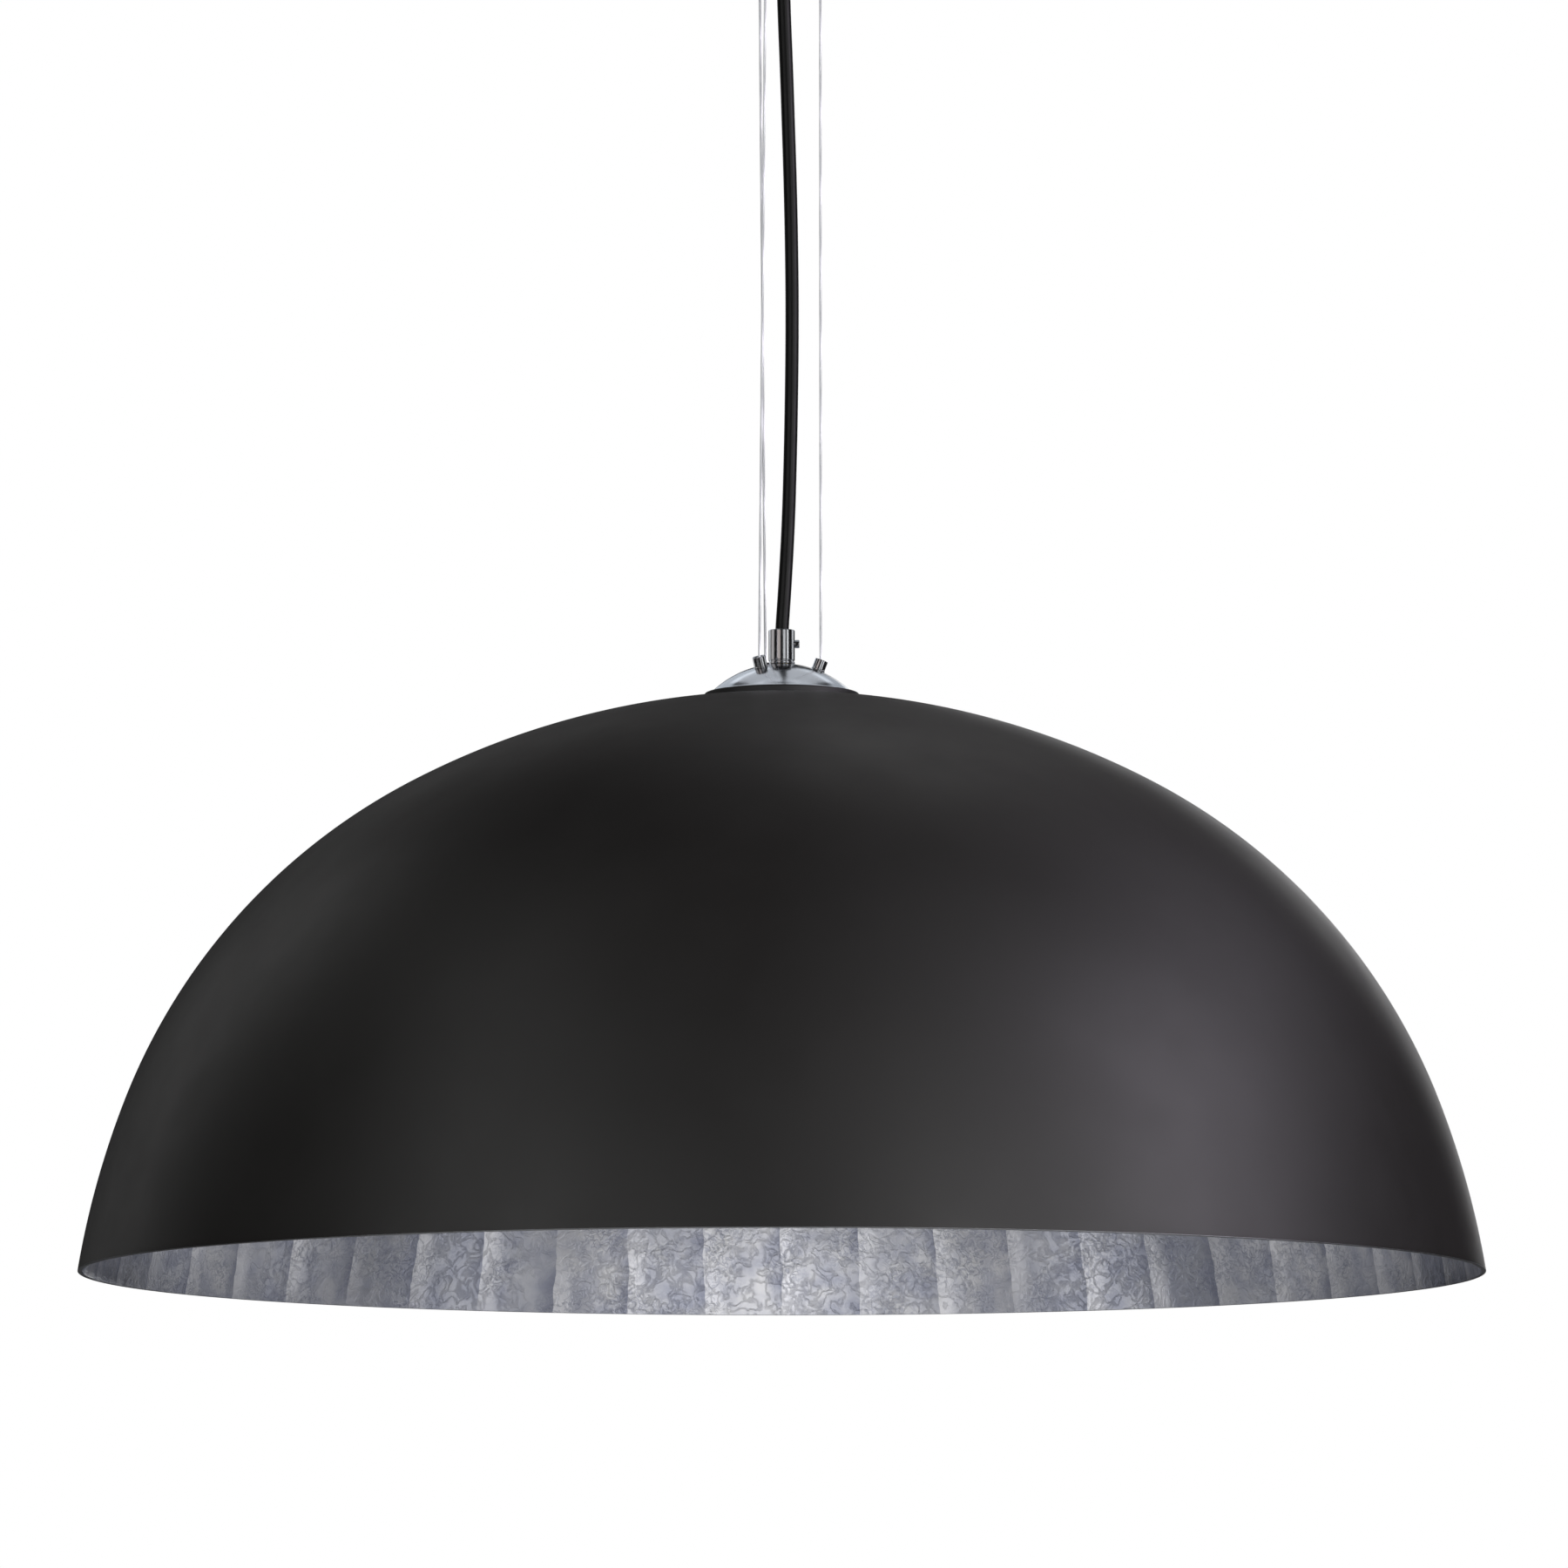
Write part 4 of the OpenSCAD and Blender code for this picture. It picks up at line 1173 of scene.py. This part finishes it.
@dataclass
class Suspension:
    """The three wire ropes and the flex between the canopy and the crown."""

    wire_r: float = 0.65
    lay_mm: float = 9.0
    cord_r: float = 3.4
    # how far the flex stands off the axis in millimetres, and how far up it is as a share of the way
    route: tuple[Point, ...] = ((0, 0), (0.35, 0.02), (1.1, 0.05), (2.2, 0.1), (3.3, 0.16), (4.2, 0.24),
                                (4.9, 0.34), (5.2, 0.44), (4.9, 0.54), (4.2, 0.63), (3.3, 0.71), (2.3, 0.79),
                                (1.3, 0.86), (0.5, 0.93), (0.1, 0.98), (0, 1))
    top_turn: float = 5.5
    bottom_turn: float = -5.0
    ring_r: float = 19.6027

    def ends(self, hang: Hang) -> tuple[Vector, Vector]:
        """The top and bottom of a wire, from its CAD node's box, in metres.

        Args:
            hang: Which of the three wires.

        Returns:
            The top and the bottom.
        """
        low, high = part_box(f"wire_{hang.value}")
        points = []
        for turn, z in ((self.top_turn, high.z), (self.bottom_turn, low.z)):
            angle = math.radians(turn + hang.turn)
            points.append(Vector((math.cos(angle) * self.ring_r * MM, math.sin(angle) * self.ring_r * MM, z)))
        if hang is not Hang.RIGHT:
            points[1].z += 1.7 * MM
        return points[0], points[1]

    def build_wires(self) -> list[Piece]:
        """Three wire ropes, each six strands laid round a core.

        Returns:
            The three ropes.
        """
        made = []
        for hang in Hang:
            top, bottom = self.ends(hang)
            along = (bottom - top).normalized()
            side = along.orthogonal().normalized()
            across = along.cross(side)
            length = (bottom - top).length
            strand_r = self.wire_r * MM / 3
            form = bmesh.new()
            sweep(form, [top, (top + bottom) / 2, bottom], strand_r, 6)
            steps = round(length / (self.lay_mm * MM) * 12)
            for strand in range(6):
                path = []
                for i in range(steps + 1):
                    angle = math.radians(60 * strand) + 2 * math.pi * i / 12
                    spot = top + along * (length * i / steps)
                    path.append(spot + 2 * strand_r * (math.cos(angle) * side + math.sin(angle) * across))
                sweep(form, path, strand_r, 6)
            if hang is not Hang.RIGHT:
                ball = bmesh.ops.create_uvsphere(form, u_segments=24, v_segments=16, radius=1.7 * MM)
                for vert in ball["verts"]:
                    vert.co += bottom
            mesh = bpy.data.meshes.new(f"wire_rope_{hang.value}")
            form.to_mesh(mesh)
            form.free()
            rope = finished_object(f"wire_rope_{hang.value}", mesh, 50)
            dress(rope, STEEL_WIRE)
            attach(rope, f"wire_{hang.value}")
            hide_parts(f"wire_{hang.value}")
            LOG.info("wire rope %s is %.1f mm long", hang.value, length / MM)
            made.append(rope)
        return made

    def build_flex(self) -> Piece:
        """The round flex, from its swing point in the bush to the one in the grip.

        Returns:
            The flex.
        """
        low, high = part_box("power_cord")
        # the end rings lie square to a path that leaves upright, so the box's ends are the route's ends
        tall = high.z - low.z
        points = [Vector((out * MM, 0, low.z + share * tall)) for out, share in reversed(self.route)]
        line = bpy.data.curves.new("flex", "CURVE")
        line.dimensions = "3D"
        line.bevel_depth = self.cord_r * MM
        line.bevel_resolution = 6
        line.use_fill_caps = True
        line.resolution_u = 8
        spline = line.splines.new("BEZIER")
        spline.bezier_points.add(len(points) - 1)
        for handle, spot in zip(spline.bezier_points, points):
            handle.co = spot
            handle.handle_left_type = handle.handle_right_type = "AUTO"
        flex = bpy.data.objects.new("flex", line)
        bpy.context.scene.collection.objects.link(flex)
        dress(flex, SHEATH)
        return settle(flex, Body.CORD, "flex_sheath", "power_cord")


@dataclass
class Lampholder:
    """The lampholder and the globe bulb under the crown. Heights are from the ceiling."""

    holder_r: float = 20.0
    wall: float = 2.0
    stem_r: float = 5.05
    thread_pitch: float = 3.6
    thread_depth: float = 0.5
    thread_r: float = 13.2
    bulb_r: float = 47.5
    glass: float = 1.0
    neck_fillet_r: float = 25.0

    def build_cap(self) -> Piece:
        """The bell of the lampholder, with its threaded neck.

        Returns:
            The dressed piece.
        """
        low, high = (p.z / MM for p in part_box("lampholder_cap"))
        r, w = self.holder_r, self.wall
        outline = [(self.stem_r, high), (8, high), (8, high - 7), (r - 4, high - 15), (r, high - 19),
                   (r, low + 3), (r - 0.4, low + 2.6), (r - 0.4, low + 2), (r, low + 1.6), (r, low),
                   (r - w, low), (r - w, high - 19.5), (r - w - 3.5, high - 16.5), (6.5, high - 8.5),
                   (self.stem_r, high - 7.5)]
        bell = lathe("lampholder_bell", rounded(outline, 0.7), 128)
        dress(bell, PHENOLIC)
        return settle(bell, Body.PENDANT, "black_phenolic", "lampholder_cap")

    def build_body(self) -> Piece:
        """The lampholder's barrel, with the outer thread that the ring runs on.

        Returns:
            The barrel.
        """
        low, high = (p.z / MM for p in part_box("lampholder_body"))
        r, w = self.holder_r, self.wall
        inner = r - 2 * w - 0.05
        outline = [(inner, high), (r - w - 0.05, high), (r - w - 0.05, high - 4.05), (r, high - 4.05)]
        top = high - 7
        turns = int((top - low - 2) / 2.5)
        for i in range(turns):
            z = top - 2.5 * i
            outline += [(r, z), (r - 0.35, z - 0.6), (r - 0.35, z - 1.3), (r, z - 1.9)]
        outline += [(r - 0.6, low), (r - 2.2, low), (inner, high - 10)]
        barrel = lathe("lampholder_barrel", rounded(outline, 0.25), 128)
        dress(barrel, PHENOLIC)
        return settle(barrel, Body.PENDANT, "black_phenolic", "lampholder_body")

    def build_ring(self) -> Piece:
        """The ring on the barrel, scalloped for the fingers.

        Returns:
            The ring.
        """
        low, high = (p.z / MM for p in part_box("lampholder_ring"))
        r = self.holder_r
        outline = [(r + 0.1, low), (r + 3, low)] + [(r + 3, low + (high - low) * i / 6) for i in range(1, 6)]
        outline += [(r + 3, high), (r + 0.1, high)]

        def scallop(radius: float, height: float, angle: float) -> float:
            """Rounded grooves down the ring's outside."""
            return -0.8 * max(0.0, math.cos(24 * angle)) ** 3 if radius > r + 2 else 0.0

        ring = lathe("lampholder_screw_ring", rounded(outline, 0.5), 384, scallop)
        dress(ring, PHENOLIC)
        return settle(ring, Body.PENDANT, "black_phenolic", "lampholder_ring")

    def thread(self, radius: float, top: float, turns: int) -> list[Point]:
        """The wave of a rolled thread, from its top down.

        Args:
            radius: Mean radius of the thread, in millimetres.
            top: Height of its top, in millimetres.
            turns: Number of turns.

        Returns:
            The thread's points.
        """
        steps = turns * 12
        return [(radius - self.thread_depth / 2 * (1 - math.cos(math.radians(30 * i))),
                 top - i * self.thread_pitch / 12) for i in range(steps + 1)]

    def build_shell(self) -> Piece:
        """The brass screw shell inside the barrel.

        Returns:
            The shell.
        """
        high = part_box("lampholder_shell")[1].z / MM
        outline = self.thread(self.thread_r + 0.5, high, 6) + self.thread(self.thread_r + 1.0, high, 6)[::-1]
        shell = lathe("lampholder_screw_shell", outline, 96)
        dress(shell, BRASS)
        return settle(shell, Body.PENDANT, "turned_brass", "lampholder_shell")

    def build_bulb(self) -> list[Piece]:
        """The opal globe and its rolled screw base.

        Returns:
            The glass and the base.
        """
        low, high = (p.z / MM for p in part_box("bulb_glass"))
        neck = self.thread_r - 0.4
        globe = low + self.bulb_r
        reach = self.bulb_r + self.neck_fillet_r
        rise = math.sqrt(reach ** 2 - (neck + self.neck_fillet_r) ** 2)
        lean = math.degrees(math.acos(rise / reach))

        def line(inset: float) -> list[Point]:
            """The glass's line from neck to pole, moved in by an inset.

            Args:
                inset: How far it is moved in, in millimetres.

            Returns:
                The line's points.
            """
            points = [(neck - inset, high)]
            fillet_centre = (neck + self.neck_fillet_r, globe + rise)
            points += arc(fillet_centre, self.neck_fillet_r + inset, 180, 270 - lean, 20)
            return points + arc((0, globe), self.bulb_r - inset, 90 - lean, -90, 64)

        globe_mesh = lathe("bulb_globe", line(0) + line(self.glass)[::-1], 128)
        dress(globe_mesh, OPAL)
        settle(globe_mesh, Body.BULB, "opal_glass", "bulb_glass")
        low, high = (p.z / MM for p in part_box("bulb_base"))
        r = self.thread_r
        outline = [(6, high), (r - 1.6, high)] + self.thread(r, high - 1, 5)
        outline += [(r, low), (r - 0.35, low), (r - 0.35, low + 2.5), (r - 1.2, low + 2.5),
                    (r - 1.2, high - 1.5), (6, high - 1.5)]
        base = lathe("bulb_screw_base", outline, 96)
        dress(base, NICKEL)
        settle(base, Body.BULB, "base_alloy", "bulb_base")
        return [globe_mesh, base]


@dataclass
class InnerParts:
    """The CAD nodes that keep their own shape and get their finish here."""

    finishes: dict[Finish, tuple[str, ...]] = field(default_factory=lambda: {
        ZINC: ("ceiling_bracket", "inner_disc", "anchor_nuts"),
        NICKEL: ("side_screws", "gripper_nuts"),
        BRASS: ("earth_screw", "stem", "lock_nut", "terminal_screws", "lampholder_terminals",
                "lampholder_contacts", "bulb_contact"),
        STEEL_WIRE: ("upper_ball_right", "upper_ball_rear", "upper_ball_front", "lower_ball_right"),
        PHENOLIC: ("cord_bush_nut", "bulb_insulator"),
        RUBBER: ("cord_grommet",),
        SHEATH: ("upper_flex", "lower_flex"),
        CORES: ("upper_cores", "lower_cores"),
        POLYAMIDE: ("terminal_block",),
        PORCELAIN: ("lampholder_insert",),
    })
    bevelled: tuple[str, ...] = ("ceiling_bracket", "side_screws", "terminal_block", "gripper_nuts",
                                 "cord_bush_nut", "lock_nut", "anchor_nuts", "inner_disc")

    def build(self, nodes: dict[str, Piece]) -> None:
        """Dresses each node and eases the edges of those that can be seen.

        Args:
            nodes: The frame's nodes by name.
        """
        for finish, names in self.finishes.items():
            for name in names:
                dress(nodes[name], finish)
                LOG.info("%s is %s", name, finish.name)
        for name in self.bevelled:
            ease = nodes[name].modifiers.new("eased edges", "BEVEL")
            ease.width = 0.25 * MM
            ease.segments = 2
            ease.limit_method = "ANGLE"
            ease.angle_limit = math.radians(50)


@dataclass
class Studio:
    """A pale floor, soft lights and the camera."""

    distance: float = 4.5
    below_rim: float = 0.2795
    pitch: float = 6.663
    lens: float = 207.4
    aim_right: float = 0.0011
    floor_drop: float = 8.0

    def build(self) -> None:
        """Sets up all but the lights, which come last because they shine on chosen finishes."""
        self.rim_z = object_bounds()[0].z
        self.camera()
        self.floor()
        self.world()

    def camera(self) -> None:
        """A long lens a little below the rim, tilted up to take in the wires."""
        data = bpy.data.cameras.new("camera")
        data.sensor_width = 36
        data.lens = self.lens
        data.clip_end = 100
        camera = bpy.data.objects.new("camera", data)
        camera.location = (self.aim_right, -self.distance, self.rim_z - self.below_rim)
        camera.rotation_euler = (math.radians(90 + self.pitch), 0, 0)
        bpy.context.scene.collection.objects.link(camera)
        bpy.context.scene.camera = camera
        bpy.context.scene.view_settings.view_transform = "Standard"

    def floor(self) -> None:
        """A wide plain floor, so far below that the shade can also be looked at from underneath."""
        form = bmesh.new()
        bmesh.ops.create_circle(form, cap_ends=True, segments=96, radius=60)
        mesh = bpy.data.meshes.new("studio_floor")
        form.to_mesh(mesh)
        form.free()
        floor = bpy.data.objects.new("studio_floor", mesh)
        floor.location.z = self.rim_z - self.floor_drop
        bpy.context.scene.collection.objects.link(floor)
        dress(floor, LitPaper("studio_paper", "#f2f1ef", 0.8, grain_mm=30.0, grain=0.02))
        floor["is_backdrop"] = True

    def world(self) -> None:
        """A white surround for the eye that lights the object only faintly, so that black stays black."""
        world = bpy.data.worlds.new("studio")
        bpy.context.scene.world = world
        world.use_nodes = True
        tree = world.node_tree
        tree.nodes.clear()
        seen = add(tree, "ShaderNodeLightPath").outputs["Is Camera Ray"]
        white = add(tree, "ShaderNodeBackground", {"Color": linear("#ffffff"), "Strength": 1.0})
        dim = add(tree, "ShaderNodeBackground", {"Color": linear("#eef1f6"), "Strength": 0.01})
        mixed = add(tree, "ShaderNodeMixShader", {0: seen, 1: dim.outputs[0], 2: white.outputs[0]})
        add(tree, "ShaderNodeOutputWorld", {0: mixed.outputs[0]})

    def lights(self) -> None:
        """Softboxes all round; some shine on one finish alone, as flagged lights in a studio do."""
        middle = Vector((0, 0, self.rim_z + 0.15))
        for panel in PANELS:
            data = bpy.data.lights.new(panel.name, "AREA")
            data.shape = "RECTANGLE"
            data.size = panel.width
            data.size_y = panel.height
            data.energy = panel.power
            data.color = linear(panel.colour)[:3]
            lamp = bpy.data.objects.new(panel.name, data)
            offset = panel.offset()
            lamp.location = middle + offset
            lamp.rotation_mode = "QUATERNION"
            lamp.rotation_quaternion = (-offset).to_track_quat("-Z", "Y")
            lamp.visible_camera = False
            bpy.context.scene.collection.objects.link(lamp)
            lamp.light_linking.receiver_collection = self.group(panel.only)

    @staticmethod
    def group(finish: Finish | None) -> bpy.types.Collection:
        """The pieces that a light shines on: those with a finish, or all but the polished nickel.

        Args:
            finish: The finish, or nothing.

        Returns:
            The pieces' collection, which is made once for each finish.
        """
        key = f"lit_{finish.name}" if finish else "lit_by_all"
        found = bpy.data.collections.get(key)
        if found:
            return found
        made = bpy.data.collections.new(key)
        for piece in bpy.context.scene.objects:
            worn = {slot.material.name for slot in piece.material_slots if slot.material}
            if finish and finish.name in worn or not finish and worn and NICKEL.name not in worn:
                made.objects.link(piece)
        return made


@dataclass(frozen=True)
class Panel:
    """A softbox that faces the object.

    Attributes:
        name: What it is for.
        azimuth: Degrees round from the camera's side, towards the right.
        elevation: Degrees up from level.
        power: Its power in watts.
        colour: Its sRGB colour.
        width: Its width in metres.
        height: Its height in metres.
        distance: How far it stands from the object.
        only: The finish that it shines on, or nothing for all but the nickel, which has panels of its own.
    """

    name: str
    azimuth: float
    elevation: float
    power: float
    colour: str = "#ffffff"
    width: float = 1.0
    height: float = 1.2
    distance: float = 2.8
    only: Finish | None = None

    def offset(self) -> Vector:
        """From the object's middle to the softbox.

        Returns:
            The vector, in metres.
        """
        turn, rise = math.radians(self.azimuth), math.radians(self.elevation)
        flat = math.cos(rise) * self.distance
        return Vector((math.sin(turn) * flat, -math.cos(turn) * flat, math.sin(rise) * self.distance))


# a slightly violet white, as the light from that side is
COOL = "#f8f0ff"
PANELS = (
    Panel("key high", 70, 32, 17.5, COOL), Panel("key low", 70, 8, 17.4, COOL),
    Panel("key front", 50, 8, 12.6),
    Panel("key side", 90, 32, 5.1, COOL), Panel("key top", 50, 58, 2.5), Panel("front right", 25, 8, 13.5),
    Panel("front right high", 25, 32, 4.2), Panel("front left", -25, 8, 8.0), Panel("left", -50, 8, 6.3),
    Panel("left high", -50, 32, 4.7), Panel("left rear", -130, 32, 2.6), Panel("left rear low", -130, 8, 1.6),
    Panel("left top", -70, 52, 2.4), Panel("key rear", 118, 42, 3.4, COOL), Panel("rear", 165, 8, 10.0),
    Panel("rear high", 165, 58, 2.6), Panel("rear left", -165, 32, 0.8), Panel("rear right", 165, 32, 0.6),
    Panel("fill from below", 0, -89, 30.0, width=4.0, height=4.0),
    Panel("metal top", 180, 60, 9.5, "#edf2f8", 2.0, 2.0, only=NICKEL),
    Panel("metal above", 0, 84, 6.0, "#edf2f8", 2.4, 2.4, only=NICKEL),
    Panel("metal strip", 53, 10, 5.5, width=0.5, height=2.0, only=NICKEL),
    Panel("metal front right", 22, 10, 5.5, width=0.9, height=2.0, only=NICKEL),
    Panel("metal front left", -28, 10, 6.5, "#f6e9e3", 1.4, 2.0, only=NICKEL),
    Panel("metal left", -88, 20, 8.5, "#f2ece9", 1.6, 2.4, only=NICKEL),
    Panel("metal right", 112, 20, 6.0, width=1.0, height=2.0, only=NICKEL),
    Panel("metal rear left", -152, 30, 8.0, "#e2eaf3", 2.0, 1.6, only=NICKEL),
    Panel("metal rear right", 152, 30, 5.0, "#e2eaf3", 1.6, 1.6, only=NICKEL),
    Panel("metal back left", -130, 5, 7.0, width=1.2, height=2.0, only=NICKEL),
    Panel("metal back right", 165, 5, 7.0, width=1.2, height=2.0, only=NICKEL),
    Panel("wire front", 0, 12, 9.0, width=2.0, height=1.6, only=STEEL_WIRE),
    Panel("leaf left rear", -130, -20, 1.9, only=LEAF), Panel("leaf left", -100, -20, 2.8, only=LEAF),
    Panel("leaf left front", -60, -20, 5.8, only=LEAF), Panel("leaf front left", -25, -20, 5.0, only=LEAF),
    Panel("leaf front", 0, -20, 7.4, only=LEAF), Panel("leaf front right", 25, -20, 6.0, only=LEAF),
    Panel("leaf right front", 60, -20, 4.9, only=LEAF), Panel("leaf right", 100, -20, 3.0, only=LEAF),
    Panel("leaf right rear", 130, -20, 2.7, only=LEAF),
)


def main() -> None:
    """Builds the pendant's sub-assemblies in order, then the studio round them."""
    logging.basicConfig(level=logging.INFO, format="%(name)s: %(message)s")
    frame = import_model()
    studio = Studio()
    studio.build()
    suspension = Suspension()
    suspension.build_wires()
    suspension.build_flex()
    dome = Dome()
    dome.build_shell()
    dome.build_leaf()
    crown = Crown(dome)
    crown.build_cap()
    crown.build_gasket()
    crown.build_anchors()
    crown.build_grip()
    crown.build_screw()
    canopy = Canopy()
    canopy.build_cup()
    canopy.build_bush()
    canopy.build_grippers()
    lampholder = Lampholder()
    lampholder.build_cap()
    lampholder.build_body()
    lampholder.build_ring()
    lampholder.build_shell()
    lampholder.build_bulb()
    InnerParts().build(frame["nodes"])
    studio.lights()


if __name__ == "__main__":
    main()
